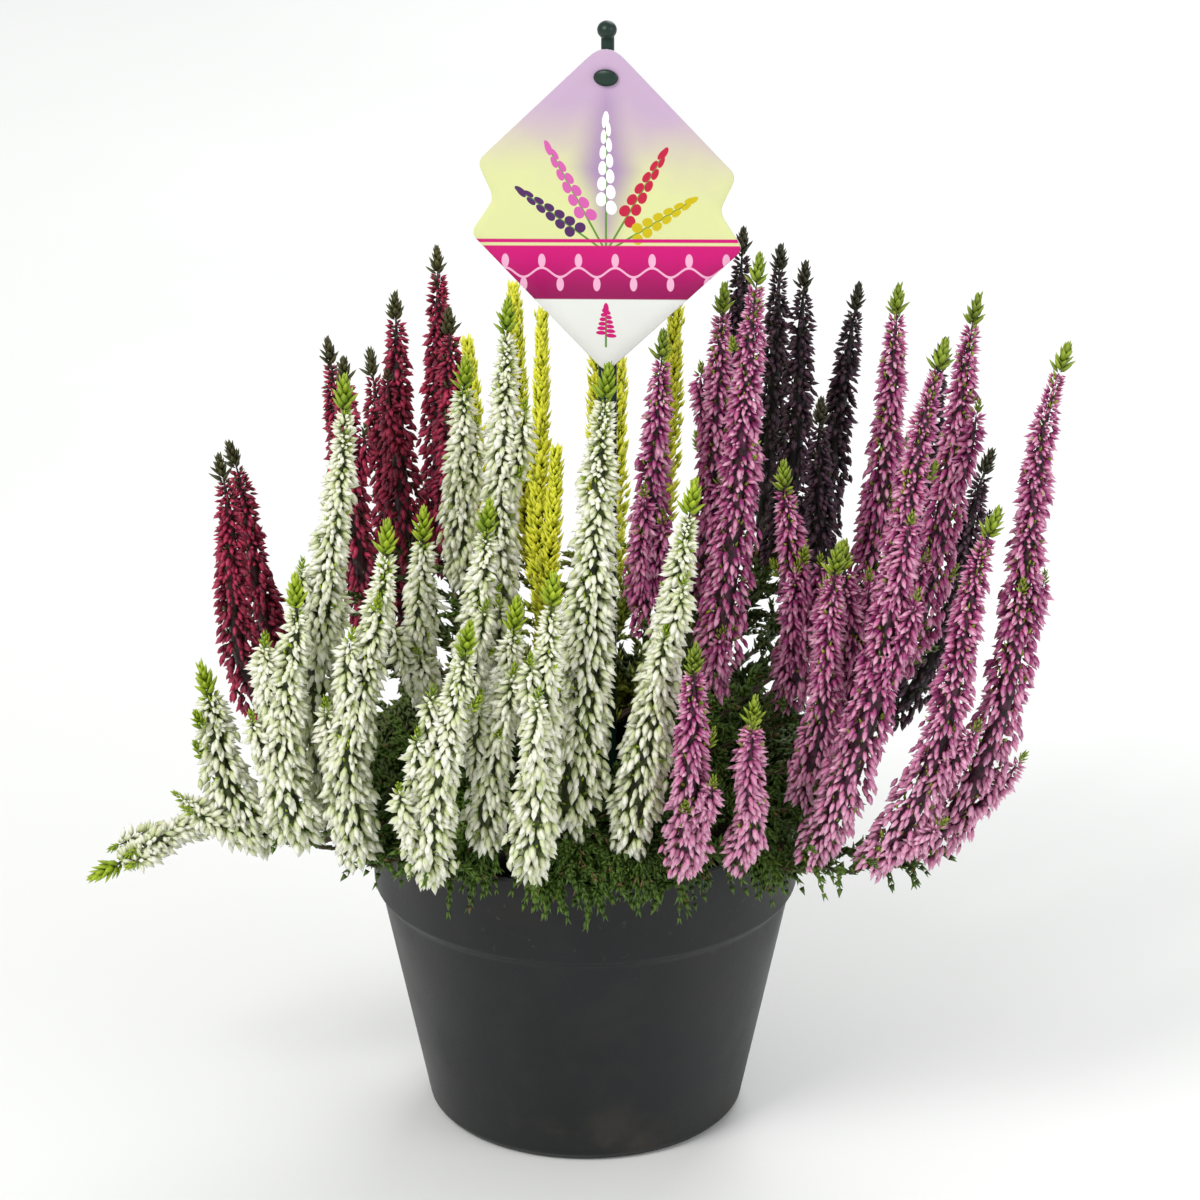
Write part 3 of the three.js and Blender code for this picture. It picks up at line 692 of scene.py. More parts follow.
def label_paint(shade):
    """The print, with x and z in millimetres from the middle of the card: lilac at the top
    running into pale yellow-green, a mauve glow behind five sprigs spread as a fan, a magenta
    band with a garland along a sine wave, and white below. The back is plain white."""
    move = {"Location": (-STAKE_AT[0] * MM, -STAKE_AT[1] * MM, 0.0)}
    moved = shade.node("Mapping", {}, {"Vector": shade.place(), **move})
    turn = {"Vector": moved, "Rotation": (0.0, 0.0, -LABEL_TURN), "Scale": (1000.0,) * 3}
    at = shade.node("Mapping", {}, turn)
    x, y, z = at.axis("X"), at.axis("Y"), at.axis("Z") - LABEL_MIDDLE
    core = (CARD_BACK + CARD_FRONT) / 2
    front = y.fade(core, core - 0.2)
    cloud = shade.noise(at, 0.06, 2.0)
    sky = (z + cloud * 16.0 - 8.0).fade(*LILAC_FROM).mix(PALE_YELLOW, LILAC)
    ray = abs(x) * 1.5 + abs(z - GLOW_AT) * 0.5 + cloud * 8.0
    colour = ray.fade(*GLOW_EDGE).mix(sky, MAUVE)
    for lean, tint in zip(SPRIG_LEANS, SPRIG_COLOURS):
        flowers, stalk = sprig(x, z - SPRIG_FOOT, lean, SPRIG_LENGTH - abs(lean) * SPRIG_LOSS)
        colour = stalk.mix(colour, SPRIG_GREEN)
        colour = flowers.mix(colour, tint)
    slope = z - x * BAND_SLOPE
    band = slope.fade(*BAND_TOP) * slope.fade(*BAND_FOOT)
    line = slope.fade(*LINE_TOP) * slope.fade(*LINE_FOOT)
    sway = (x * VINE_PACE).math("SINE")
    side = sway.math("SIGN")
    petal = (x * PETAL_PACE).math("FRACT") - 0.5
    rise = slope - GARLAND_AT
    leaf = (petal / PETAL_LENGTH) ** 2.0 + ((rise * side - PETAL_SEAT) / PETAL_WIDTH) ** 2.0
    vine = abs(rise - sway * VINE_SWING).fade(*VINE_EDGE)
    garland = (leaf.fade(1.1, 0.9) + vine).capped()
    colour = slope.fade(*WHITE_BELOW).mix(colour, CARD_WHITE)
    colour = band.mix(colour, slope.fade(*BAND_DEPTH).mix(MAGENTA, DEEP_MAGENTA))
    colour = (garland * band).mix(colour, GARLAND_PINK)
    colour = line.mix(colour, MAGENTA)
    small, stem = sprig(x, z - SMALL_SPRIG_FOOT, 0, SMALL_SPRIG_LENGTH)
    colour = small.mix(stem.mix(colour, SPRIG_GREEN), MAGENTA)
    fibre = shade.noise(at, 3.0, 2.0)
    return {
        "Base Color": front.mix(CARD_WHITE, colour),
        "Roughness": fibre * 0.1 + 0.3,
        "Normal": shade.bump(fibre + shade.noise(at, 0.1) * 4.0, 0.00003),
    }


card_points, card_faces = card()
label_mesh = new_mesh("label", on_stake(card_points[0]), card_faces)
label_finish = new_finish("printed label card", label_paint, Specular_IOR_Level=0.3)
new_piece("label", label_mesh, label_finish, "label_card", "plant_label")

# Leafy branches of the five heathers: brown wiry stems that fan out from each woody crown, up to
# the flower spikes and over the rim, thick with short twigs. Every twig is clad in small scale
# leaves, in pairs set crosswise.
CROWN_CIRCLE = 24
CROWN_TOP = SOIL_TOP + 7
CROWN_NECK = 4
CROWN_RADIUS = 3
CROWN_SWELL = [1.0, 1.1, 1.0, 1.0, 1.1, 0.6]
CROWN_DEPTH = 14
CROWN_SIDES = 10
CROWNS = {"white": -122, "pink": -38, "purple": 34, "yellow": 100, "red": 165}
LINE_POINTS = 48
LINE_CHECKS = 60
STEM_RADIUS = 0.9
STEM_END = 0.5
STEM_SIDES = 6
STEM_POINTS = 14
STEM_LEAVES = 48
STEM_SPREAD = 0.9
SKIRT_STEMS = 14
SKIRT_FAN = 52
SKIRT_REACH = (61, 69)
SKIRT_HEIGHT = 97
SKIRT_LEAVES = 26
LOW_TWIGS = {"count": 195, "shares": (0.3, 0.9), "climbs": (0, 75), "lengths": (8, 13)}
RIM_TWIGS = {"count": 370, "shares": (0.76, 1.0), "climbs": (-40, 50), "lengths": (7, 13)}
HIGH_TWIGS = {"count": 175, "shares": (0.1, 1.0), "climbs": (10, 80), "lengths": (9, 15)}
TWIG_POINTS = 5
TWIG_RADIUS = 0.35
TWIG_STATIONS = [(0.1, 1.0), (0.5, 0.9), (0.85, 0.7)]
TWIG_LEAVES = 16
TWIG_SPREAD = 0.7
LEAF_LENGTH = 3.3
LEAF_WIDTH = 0.34
HANG_BELOW = 114
HANG_WITHIN = 70
HANG_DIPS = (-70, 10)
FREE_LIFT = 35
HANG_ARCH = 0.26
TWIG_ARCH = 0.14
NEEDLE = [(0.4, 1.0)]
AS_WOOD = {"leaf": 0.0, "wood": 1.0}
AS_LEAF = {"leaf": 1.0, "wood": 0.0}
AS_BUD = {"leaf": 0.0, "wood": 0.0}
WOOD = "#34261a"
BARK = "#5d4634"
DRY_LEAF = "#75603a"
LEAF_COLOURS = {
    "white": ("#2c470d", "#6f922c"),
    "pink": ("#29420e", "#688a2d"),
    "purple": ("#28380f", "#5f7534"),
    "yellow": ("#566a14", "#b4c034"),
    "red": ("#313e18", "#6b8036"),
}


def middle_line(node, crown):
    """The line down the middle of a CAD shoot, from its foot to its tip, and its radius, within
    which nine in ten of its mesh corners lie. Each coordinate of the line is a cubic in the share
    of the shoot's length, fitted to those corners. The end nearer the crown is the foot."""
    corners = np.empty(len(node.data.vertices) * 3, np.float32)
    node.data.vertices.foreach_get("co", corners)
    corners = corners.reshape(-1, 3) / MM
    centre = corners.mean(0)
    axis = np.linalg.svd(corners - centre, full_matrices=False)[2][0]
    along = (corners - centre) @ axis
    share = (along - along.min()) / np.ptp(along)
    fit = np.linalg.lstsq(share[:, None] ** np.arange(4), corners, rcond=None)[0]
    steps = np.linspace(0, 1, LINE_CHECKS)[:, None]
    line = even(steps ** np.arange(4) @ fit, LINE_POINTS)
    if np.linalg.norm(line[-1] - crown) < np.linalg.norm(line[0] - crown):
        line = line[::-1]
    away = np.linalg.norm(corners[:, None] - line, axis=-1).min(1)
    return line, np.percentile(away, 90)


def even(line, count):
    """The same line with count points at equal distances along it."""
    step = np.linalg.norm(np.diff(line, axis=0), axis=-1)
    run = np.concatenate([[0], np.cumsum(step)])
    at = np.linspace(0, run[-1], count)
    return np.stack([np.interp(at, run, line[:, i]) for i in range(3)], -1)


def polar(degrees, radius, height):
    """Points at angles round the Z axis."""
    turn = np.radians(degrees)
    return np.stack(np.broadcast_arrays(radius * np.cos(turn), radius * np.sin(turn), height), -1)


def hermite(start, leave, end, arrive, count):
    """Smooth paths between two sets of points: cubics in the share of the way, with the given
    slopes at both ends, by the four Hermite weights."""
    t = np.linspace(0, 1, count)[:, None]
    first = (2 * t**3 - 3 * t**2 + 1) * start[:, None] + (t**3 - 2 * t**2 + t) * leave[:, None]
    return first + (3 * t**2 - 2 * t**3) * end[:, None] + (t**3 - t**2) * arrive[:, None]


def frames_of(paths):
    """Unit tangents along each path, and two unit vectors square to them and to each other."""
    tangent = unit(np.gradient(paths, axis=1))
    chord = np.abs(paths[:, -1] - paths[:, 0])
    guide = np.eye(3)[np.argmin(chord, -1)]
    across = unit(np.cross(tangent, guide[:, None]))
    return tangent, across, np.cross(tangent, across)


def tubes(paths, radius, sides):
    """Round bodies along paths, closed at both ends: at each point a ring of that radius."""
    _, across, up = frames_of(paths)
    angle = circle(sides)[:, None]
    ring = across[:, :, None] * np.cos(angle) + up[:, :, None] * np.sin(angle)
    rings = paths[:, :, None] + radius[..., None, None] * ring
    return closed(paths[:, 0], rings, paths[:, -1])


def at_share(paths, share):
    """The point of each path at each share of its steps, by straight lines between its points."""
    place = share * (paths.shape[1] - 1)
    low = np.minimum(place.astype(int), paths.shape[1] - 2)
    part = (place - low)[..., None]
    row = np.arange(len(paths)).reshape(-1, *[1] * (share.ndim - 1))
    return paths[row, low] * (1 - part) + paths[row, low + 1] * part


def scales(foot, reach, width, depth, facing):
    """Scale leaves, each a slim three-sided pyramid: a broad foot with its back to facing, drawn
    to a point at foot + reach."""
    side = unit(np.cross(reach, facing))
    normal = unit(np.cross(reach, side))
    wide, deep = side * width[:, None], normal * depth[:, None]
    points = np.stack([foot - wide - deep, foot + wide - deep, foot + deep, foot + reach], 1)
    return points, np.array([[0, 2, 1], [0, 1, 3], [1, 2, 3], [2, 0, 3]])


def clothed(paths, leaves, spread):
    """Scale leaves in crosswise pairs up each path. A leaf leaves its twig at the angle spread,
    which closes towards the tip, and the leaves shorten there."""
    count = len(paths)
    number = np.arange(leaves)
    share = np.broadcast_to((number // 2 + 0.5) / (leaves / 2), (count, leaves))
    tangent, across, up = frames_of(paths)
    turn = (number % 2) * np.pi + (number // 2 % 2) * np.pi / 2
    turn = turn + chance.normal(0, 0.25, (count, leaves))
    t = at_share(tangent, share)
    out = at_share(across, share) * np.cos(turn)[..., None]
    out = out + at_share(up, share) * np.sin(turn)[..., None]
    open_by = spread * (1 - 0.55 * share**2) * chance.uniform(0.8, 1.2, (count, leaves))
    heading = t * np.cos(open_by)[..., None] + out * np.sin(open_by)[..., None]
    size = LEAF_LENGTH * (1 - 0.35 * share) * chance.uniform(0.8, 1.15, (count, leaves))
    reach = (heading * size[..., None]).reshape(-1, 3)
    foot = at_share(paths, share).reshape(-1, 3)
    wide = (size * LEAF_WIDTH).ravel()
    return scales(foot, reach, wide, wide * 0.5, out.reshape(-1, 3))


def marked(body, kind):
    """A set of bodies with the marks that the plant finishes read on every point: the share along
    the body, a random number for each body, and whether it is a leaf or wood."""
    points = body[0]
    bodies, each = points.shape[:2]
    reach = points - points[:, :1]
    axis = points[:, -1:] - points[:, :1]
    along = (reach * axis).sum(-1) / (axis**2).sum(-1)
    marks = {
        "along": along,
        "chance": np.repeat(chance.random((bodies, 1)), each, 1),
        **{mark: np.full((bodies, each), value) for mark, value in kind.items()},
    }
    return body, marks


def plant_mesh(name, *parts):
    """One mesh of several marked sets of bodies."""
    points, faces = joined(*[body for body, _ in parts])
    marks = {
        mark: np.concatenate([marks[mark].ravel() for _, marks in parts])
        for mark in ("along", "chance", "leaf", "wood")
    }
    return new_mesh(name, points, faces, marks)


def leaf_tint(shade, dark, light):
    """Green that is light at the leaf's tip, differs from leaf to leaf and in broad patches."""
    at = shade.place()
    patch = shade.noise(at, 45, 2.0).fade(0.3, 0.7)
    tone = shade.mark("along") * 0.45 + shade.mark("chance") * 0.35 + patch * 0.35 - 0.1
    return tone.mix(dark, light)


def branch_paint(dark, light):
    def paint(shade):
        """Scale leaves, a few of them dry, over brown, finely ridged stems."""
        at = shade.place()
        ridges = shade.noise(at, 1800, 3.0)
        bark = ridges.mix(WOOD, BARK)
        dry = shade.mark("chance").fade(0.94, 0.97)
        leaf = dry.mix(leaf_tint(shade, dark, light), DRY_LEAF)
        return {
            "Base Color": shade.mark("wood").mix(leaf, bark),
            "Roughness": ridges * 0.2 + 0.42,
            "Normal": shade.bump(ridges, 0.0001),
        }

    return paint


def stems_of(crown, lines):
    """Stems from the crown to the foot of every shoot. Each leaves the crown steeply and arrives
    along the shoot, with slopes in proportion to the distance between its ends."""
    feet = np.array([line[0] for line in lines])
    heading = unit(np.array([line[4] - line[0] for line in lines]))
    span = np.linalg.norm(feet - crown, axis=-1)[:, None]
    start = np.broadcast_to(crown, feet.shape)
    leave = span * (unit(feet - start) * 0.5 + [0, 0, 1.0])
    return hermite(start, leave, feet, heading * span * 0.7, STEM_POINTS)


def skirt_of(crown, at):
    """Low stems that fan out from the crown, arch over the rim and hang a little beyond it. The
    farther out one ends, the lower it may end."""
    fan = np.linspace(-SKIRT_FAN, SKIRT_FAN, SKIRT_STEMS)
    turn = at + fan + chance.normal(0, 3, SKIRT_STEMS)
    out = chance.uniform(*SKIRT_REACH, SKIRT_STEMS)
    drop = (out - SKIRT_REACH[0]) * chance.uniform(0, 1.2, SKIRT_STEMS)
    end = polar(turn, out, SKIRT_HEIGHT - drop)
    start = np.broadcast_to(crown, end.shape)
    span = np.linalg.norm(end - start, axis=-1)[:, None]
    leave = span * (unit(end - start) * 0.8 + [0, 0, 0.9])
    arrive = span * (unit(polar(turn, 1.0, 0.0)) * 0.7 - [0, 0, 1.1])
    return hermite(start, leave, end, arrive, STEM_POINTS)


def stem_tubes(stems):
    """Thin round stems that narrow evenly towards their ends."""
    shrink = np.linspace(1, STEM_END, STEM_POINTS)
    return tubes(stems, STEM_RADIUS * np.tile(shrink, (len(stems), 1)), STEM_SIDES)


def twigs_on(stems, at, count, shares, climbs, lengths):
    """Short twigs, each rooted at a random share of a random stem, that head outward or off to
    one side. A twig climbs at a random angle, but one that reaches out over the rim low down
    dips, less so well clear of the pot. Each rises above the straight line between its ends by a
    square parabola."""
    stem = chance.integers(0, len(stems), count)
    root = at_share(stems[stem], chance.uniform(*shares, count))
    outward = np.degrees(np.arctan2(root[:, 1], root[:, 0])) + chance.normal(0, 45, count)
    heading = np.where(chance.random(count) < 0.5, at + chance.uniform(-95, 95, count), outward)
    length = chance.uniform(*lengths, count)
    end = root + polar(heading, length, 0)
    over = (np.hypot(end[:, 0], end[:, 1]) > POT_RIM) & (root[:, 2] < HANG_BELOW)
    dip = np.where(np.hypot(root[:, 0], root[:, 1]) > HANG_WITHIN, FREE_LIFT, 0)
    dip = dip + chance.uniform(*HANG_DIPS, count)
    climb = np.radians(np.where(over, dip, chance.uniform(*climbs, count)))
    reach = polar(heading, length * np.cos(climb), length * np.sin(climb))
    t = np.linspace(0, 1, TWIG_POINTS)[:, None]
    arch = length * np.where(over, HANG_ARCH, TWIG_ARCH)
    lift = 4 * t * (1 - t) * arch[:, None, None] * np.array([0, 0, 1])
    return root[:, None] + reach[:, None] * t + lift


def twig_stems(twigs):
    """A slim body from the root of each twig to its end, bowed as the twig is: its middle line
    is the square parabola through the twig's first, middle and last points."""
    bow = 2 * (twigs[:, 0] + twigs[:, -1] - 2 * twigs[:, TWIG_POINTS // 2])
    reach = twigs[:, -1] - twigs[:, 0] - bow
    return pods(twigs[:, 0], reach, TWIG_RADIUS, TWIG_RADIUS, bow, TWIG_STATIONS, 3)


shoot_lines = {}
for plant, at in CROWNS.items():
    crown = polar(np.array(float(at)), CROWN_CIRCLE, CROWN_TOP)
    nodes = sorted(name for name in frame["nodes"] if name.startswith(plant) and name[-1].isdigit())
    shoot_lines[plant] = {n: middle_line(frame["nodes"][n], crown) for n in nodes}
    stems = stems_of(crown, [line for line, _ in shoot_lines[plant].values()])
    skirt = skirt_of(crown, at)
    foot = crown - [0, 0, CROWN_TOP - SOIL_TOP + CROWN_DEPTH]
    root = np.linspace(foot, crown + [0, 0, CROWN_NECK], len(CROWN_SWELL))
    low = twigs_on(skirt, at, **LOW_TWIGS)
    rim = twigs_on(skirt, at, **RIM_TWIGS)
    high = twigs_on(stems, at, **HIGH_TWIGS)
    twigs = np.concatenate([low, rim, high])
    branch_mesh = plant_mesh(
        plant + "_foliage",
        marked(tubes(root[None], CROWN_RADIUS * np.array([CROWN_SWELL]), CROWN_SIDES), AS_WOOD),
        marked(stem_tubes(stems), AS_WOOD),
        marked(stem_tubes(skirt), AS_WOOD),
        marked(twig_stems(twigs), AS_LEAF),
        marked(clothed(twigs, TWIG_LEAVES, TWIG_SPREAD), AS_LEAF),
        marked(clothed(stems, STEM_LEAVES, STEM_SPREAD), AS_LEAF),
        marked(clothed(skirt, SKIRT_LEAVES, STEM_SPREAD), AS_LEAF),
    )
    leaf_finish = new_finish(plant + " heather foliage", branch_paint(*LEAF_COLOURS[plant]))
    node = plant + "_heather_branches"
    new_piece(plant + "_foliage", branch_mesh, leaf_finish, plant + "_foliage", node)

# Flower spikes of the white, pink, dark purple and crimson heathers: hundreds of closed, pointed
# buds of papery sepals, crowded round a thin stem. They hang from it low down and stand out from
# it higher up, with small leaves between them, side shoots and a leafy tuft at the tip.
GOLDEN_ANGLE = 2.39996
BUD_STATIONS = [(0.26, 0.84), (0.58, 0.9)]
BUD_COVER = 0.85
BUD_PROUD = 0.7
BUD_SIZES = (0.78, 1.14)
BUD_SEATS = (0.78, 1.06)
DROOP_AT = [0, 0.4, 0.84, 0.93]
DROOP = [58, 45, 21, -30]
DROOP_SPREAD = 15
WAVE_HEIGHT = 0.09
WAVE_LENGTH = 2.6
LEAFLET = [(0.3, 1.0), (0.7, 0.7)]
LEAFLETS_PER_BUD = 0.28
LEAFLET_SIZES = (1.8, 3.0)
LEAFLET_SEATS = (0.15, 0.62)
TUFT_LEAVES = 26
TUFT_SIZE = 11
TUFT_LOSS = 4
TUFT_DROP = 6
TUFT_ROOM = 6.5
SIDE_TUFT_LEAVES = 20
SIDE_TUFT_SIZES = (5, 7.5)
SPRAY_FROM = (0.02, 0.55)
SPRAY_LENGTHS = (15, 28)
SPRAY_POINTS = 24
SPRAY_GIRTH = 0.62
SPRAY_ROOM = 1.5
SPRAY_TUFT_LEAVES = 14
SPRAY_TUFT_SIZE = 5
SPRAY_TUFT_DROP = 2
CORE_GIRTH = 0.38
CORE_SIDES = 7
SPRAY_CORE_GIRTH = 0.22
SPRAY_CORE_SIDES = 5
CORE_STEP = 3
AGED_HEIGHTS = (0.150, 0.105)
# Painted shade: the near-black of the dark patches on each spike's core.
PAINTED_SHADE_DARK = "#12140c"
# In each look, foot is the colour at the base of the buds, partly their own green or dark base and
# partly painted shade in the gaps between them; tip is partly painted highlight; wood colours the
# dark core.
SPIKES = {
    "white": {
        "length": 4.7,
        "spacing": 2.45,
        "width": 0.92,
        "foot": "#9db457",
        "body": "#f3f4dd",
        "tip": "#fffff4",
        "shade": "#d5dcab",
        "wood": "#46551c",
        "leaf": ("#54760f", "#b9cf2e"),
        "tuft": 1.0,
        "bushy": True,
        "aged": 0.0,
    },
    "pink": {
        "length": 4.1,
        "spacing": 2.35,
        "width": 0.74,
        "foot": "#6b1f45",
        "body": "#c96096",
        "tip": "#f1b8d3",
        "shade": "#8e2468",
        "wood": "#5a2342",
        "leaf": ("#4f6414", "#a5bb34"),
        "tuft": 0.7,
        "bushy": True,
        "aged": 0.6,
    },
    "purple": {
        "length": 3.9,
        "spacing": 2.75,
        "width": 0.84,
        "foot": "#170d12",
        "body": "#3a2330",
        "tip": "#664458",
        "shade": "#26141e",
        "wood": "#181014",
        "leaf": ("#1f2315", "#4c4a30"),
        "tuft": 0.45,
        "bushy": False,
        "aged": 0.0,
    },
    "red": {
        "length": 4.1,
        "spacing": 2.65,
        "width": 0.86,
        "foot": "#3f0d1b",
        "body": "#8f143a",
        "tip": "#c6365d",
        "shade": "#6e0d30",
        "wood": "#42101f",
        "leaf": ("#2c2d14", "#5d5c2c"),
        "tuft": 0.5,
        "bushy": False,
        "aged": 0.0,
    },
}


def spike_swell(share):
    """How full a spike is along its length: full from just above its foot, then narrower all the
    way to its tip."""
    return np.minimum(1, 0.6 + 3 * share) * (1.05 - 0.58 * share**1.4)


def length_of(line):
    """The length of a line of points, step by step."""
    return np.linalg.norm(np.diff(line, axis=0), axis=-1).sum()


def tip_heading(line):
    """The way a line heads over its last four steps."""
    return unit(line[-1] - line[-5])


def scattered(line, share, turn):
    """The points of a line at given shares, with its tangent there and the way out at a turn."""
    tangent, across, up = frames_of(line[None])
    row = share[None]
    out = at_share(across, row)[0] * np.cos(turn)[:, None]
    out = out + at_share(up, row)[0] * np.sin(turn)[:, None]
    return at_share(line[None], row)[0], at_share(tangent, row)[0], out


def buds(line, radius, look, room):
    """Buds in a golden-angle spiral up the spike, as many as its side wall has squares of their
    spacing. They droop below level, less and less towards the top, and the last ones point
    upward. Their length falls to half over the last quarter. The spike is lumpy: its radius
    waves along it and round it. The last length of the line, room, has no buds."""
    run = length_of(line)
    count = int(2 * np.pi * BUD_COVER * radius * run / look["spacing"] ** 2)
    number = np.arange(count)
    share = (number + chance.random(count)) / count * (1 - room / run)
    turn = number * GOLDEN_ANGLE + chance.normal(0, 0.3, count)
    at, tangent, out = scattered(line, share, turn)
    size = look["length"] * np.clip(2.7 - 2.3 * share, 0.5, 1)
    size = size * chance.uniform(*BUD_SIZES, count)
    droop = np.interp(share, DROOP_AT, DROOP) + chance.normal(0, DROOP_SPREAD, count)
    droop = np.radians(droop)[:, None]
    down = unit(-0.7 * tangent - [0, 0, 0.3])
    heading = unit(out * np.cos(droop) + down * np.sin(droop))
    wave = share * run / WAVE_LENGTH + 2 * turn + chance.uniform(0, 6)
    lumps = 1 + WAVE_HEIGHT * np.sin(wave)
    swell = radius * spike_swell(share) * lumps * chance.uniform(*BUD_SEATS, count)
    root = np.maximum(swell - size * np.cos(droop[:, 0]), 0.6) * np.clip(6 - 6 * share, 0.4, 1)
    foot = at + out * root[:, None] - down * (size * np.sin(droop[:, 0]) * 0.4)[:, None]
    wide = look["width"] * size / look["length"]
    bow = unit(tangent) * (size * 0.08)[:, None]
    return pods(foot, heading * size[:, None], wide, wide, bow, BUD_STATIONS, 4)


def leaflets(line, radius, buds_count):
    """Small leaves between the buds, pointing up and out. They spring from inside the spike, and
    over its last quarter from closer and closer to the line."""
    count = int(buds_count * LEAFLETS_PER_BUD)
    share = chance.random(count) * 0.95
    at, tangent, out = scattered(line, share, 2 * np.pi * chance.random(count))
    open_by = chance.uniform(0.4, 1.1, count)[:, None]
    heading = tangent * np.cos(open_by) + out * np.sin(open_by)
    size = chance.uniform(*LEAFLET_SIZES, count)
    root = radius * spike_swell(share) * chance.uniform(*LEAFLET_SEATS, count)
    root = root * np.clip(5 - 5.2 * share, 0.1, 1)
    foot = at + out * root[:, None]
    return pods(foot, heading * size[:, None], size * 0.2, size * 0.14, 0, NEEDLE, 4)


def tuft(at, heading, size, count):
    """A tuft of leaves: they spring from a short axis in a golden-angle spiral, spread wide low
    down and stand nearly upright at its top."""
    number = np.arange(count)
    share = number / count
    axis = unit(heading)
    side = unit(np.cross(axis, [0.2, 1.0, 0.1]))
    turn = number * GOLDEN_ANGLE
    out = side * np.cos(turn)[:, None] + np.cross(axis, side) * np.sin(turn)[:, None]
    open_by = (0.85 - 0.72 * share + chance.normal(0, 0.08, count))[:, None]
    heading = axis * np.cos(open_by) + out * np.sin(open_by)
    length = size * 0.42 * (1.1 - 0.45 * share) * chance.uniform(0.85, 1.15, count)
    foot = at + axis * (share * size * 0.72)[:, None] + out * 0.25
    wide = length * 0.22
    return pods(foot, heading * length[:, None], wide, wide * 0.55, 0, LEAFLET, 4, out)


def sprays(line, radius, count):
    """Short side shoots in flower, each a line that leaves the spike in its lower half and curves
    up close beside it."""
    share = chance.uniform(*SPRAY_FROM, count)
    at, tangent, out = scattered(line, share, 2 * np.pi * chance.random(count))
    length = chance.uniform(*SPRAY_LENGTHS, count)[:, None]
    end = at + tangent * length + out * radius * 0.85
    leave = (tangent * 0.6 + out * 0.6) * length
    return hermite(at, leave, end, tangent * length, SPRAY_POINTS)


def core(line, radius, sides):
    """The dark inside of a spike, where stem, stalks and leaf bases stand close: a tube that
    swells with the spike and is drawn in at its foot and at its tip. It is thicker than the stem
    and coloured dark, so it is partly painted shade: a dark body where the shadow between the
    buds falls."""
    line = line[::CORE_STEP]
    share = np.linspace(0, 1, len(line))
    ends = np.clip(np.minimum(share * 9, (1 - share) * 5), 0.1, 1)
    return tubes(line[None], (radius * spike_swell(share) * ends)[None], sides)


def side_tufts(line, radius, count):
    """Tips of shorter shoots that show among the buds, as small tufts."""
    share = chance.uniform(0.25, 0.8, count)
    at, tangent, out = scattered(line, share, 2 * np.pi * chance.random(count))
    grown = zip(at + out * radius * 0.6, tangent * 1.2 + out * 0.5)
    return [
        tuft(foot, heading, chance.uniform(*SIDE_TUFT_SIZES), SIDE_TUFT_LEAVES)
        for foot, heading in grown
    ]


def crowned(lines):
    """A small tuft at the end of each side shoot."""
    ends = [(line[-1], tip_heading(line)) for line in lines]
    return [
        tuft(tip - SPRAY_TUFT_DROP * heading, heading, SPRAY_TUFT_SIZE, SPRAY_TUFT_LEAVES)
        for tip, heading in ends
    ]


def bloom_paint(look):
    def paint(shade):
        """Buds shaded from their green or dark foot over the body to pale tips, each its own
        tone and some paler low on the plant, with leaves in their own colours. The dark foot is
        partly the green base of the bud and partly painted shade, where the gaps between buds fall
        dark; the pale tips, and paler sides on some buds, are partly painted highlight. The core
        takes the stem colour, with dark patches of painted shade."""
        at = shade.place()
        along = shade.mark("along")
        own = shade.mark("chance")
        papery = shade.noise(at, 1300, 2.0)
        clumps = shade.noise(at, 700, 3.0).fade(0.35, 0.65)
        body = (own * 1.2 + papery * 0.5 - 0.4).fade(0.0, 1.0).mix(look["body"], look["shade"])
        # The dark foot of each bud is partly its green base and partly painted shade in the gaps
        # between buds.
        bud = along.fade(0.42, 0.02).mix(body, look["foot"])
        # Pale tips, and paler sides on some buds, are partly the buds' own pale colour and partly
        # painted highlight.
        pale = along.fade(0.5, 1.0) * 0.85 + own.fade(0.4, 0.0) * along.fade(0.05, 0.5) * 0.6
        aged = at.axis("Z").fade(*AGED_HEIGHTS) * own.fade(0.1, 0.6) * along.fade(0.05, 0.4)
        pale = pale + aged * look["aged"]
        bud = pale.capped().mix(bud, look["tip"])
        green = leaf_tint(shade, *look["leaf"])
        colour = shade.mark("leaf").mix(bud, green)
        # The core takes the stem colour, with dark patches of painted shade.
        return {
            "Base Color": shade.mark("wood").mix(colour, clumps.mix(PAINTED_SHADE_DARK, look["wood"])),
            "Roughness": papery * 0.2 + 0.42,
            "Normal": shade.bump(papery, 0.0001),
        }

    return paint


for plant, look in SPIKES.items():
    bloom_finish = new_finish(plant + " heather buds", bloom_paint(look))
    tuft_size = TUFT_SIZE - TUFT_LOSS * (1 - look["tuft"])
    for node, (line, radius) in shoot_lines[plant].items():
        grown = buds(line, radius + BUD_PROUD, look, TUFT_ROOM)
        lines = sprays(line, radius, chance.integers(2, 4) if look["bushy"] else 1)
        small = [buds(spray, radius * SPRAY_GIRTH, look, SPRAY_ROOM) for spray in lines]
        end = tip_heading(line)
        top = tuft(line[-1] - end * TUFT_DROP, end, tuft_size, TUFT_LEAVES)
        beside = side_tufts(line, radius, chance.integers(0, 3) if look["bushy"] else 0)
        # The dark cores, marked as wood, are partly stem and partly painted shade between the buds.
        inside = [core(line, radius * CORE_GIRTH, CORE_SIDES)]
        inside += [core(spray, radius * SPRAY_CORE_GIRTH, SPRAY_CORE_SIDES) for spray in lines]
        spike_mesh = plant_mesh(
            node.replace("flower_", ""),
            *[marked(dark, AS_WOOD) for dark in inside],
            *[marked(spray, AS_BUD) for spray in (grown, *small)],
            marked(leaflets(line, radius, len(grown[0])), AS_LEAF),
            *[marked(leaves, AS_LEAF) for leaves in (top, *crowned(lines), *beside)],
        )
        new_piece(spike_mesh.name, spike_mesh, bloom_finish, plant + "_flowers", node)

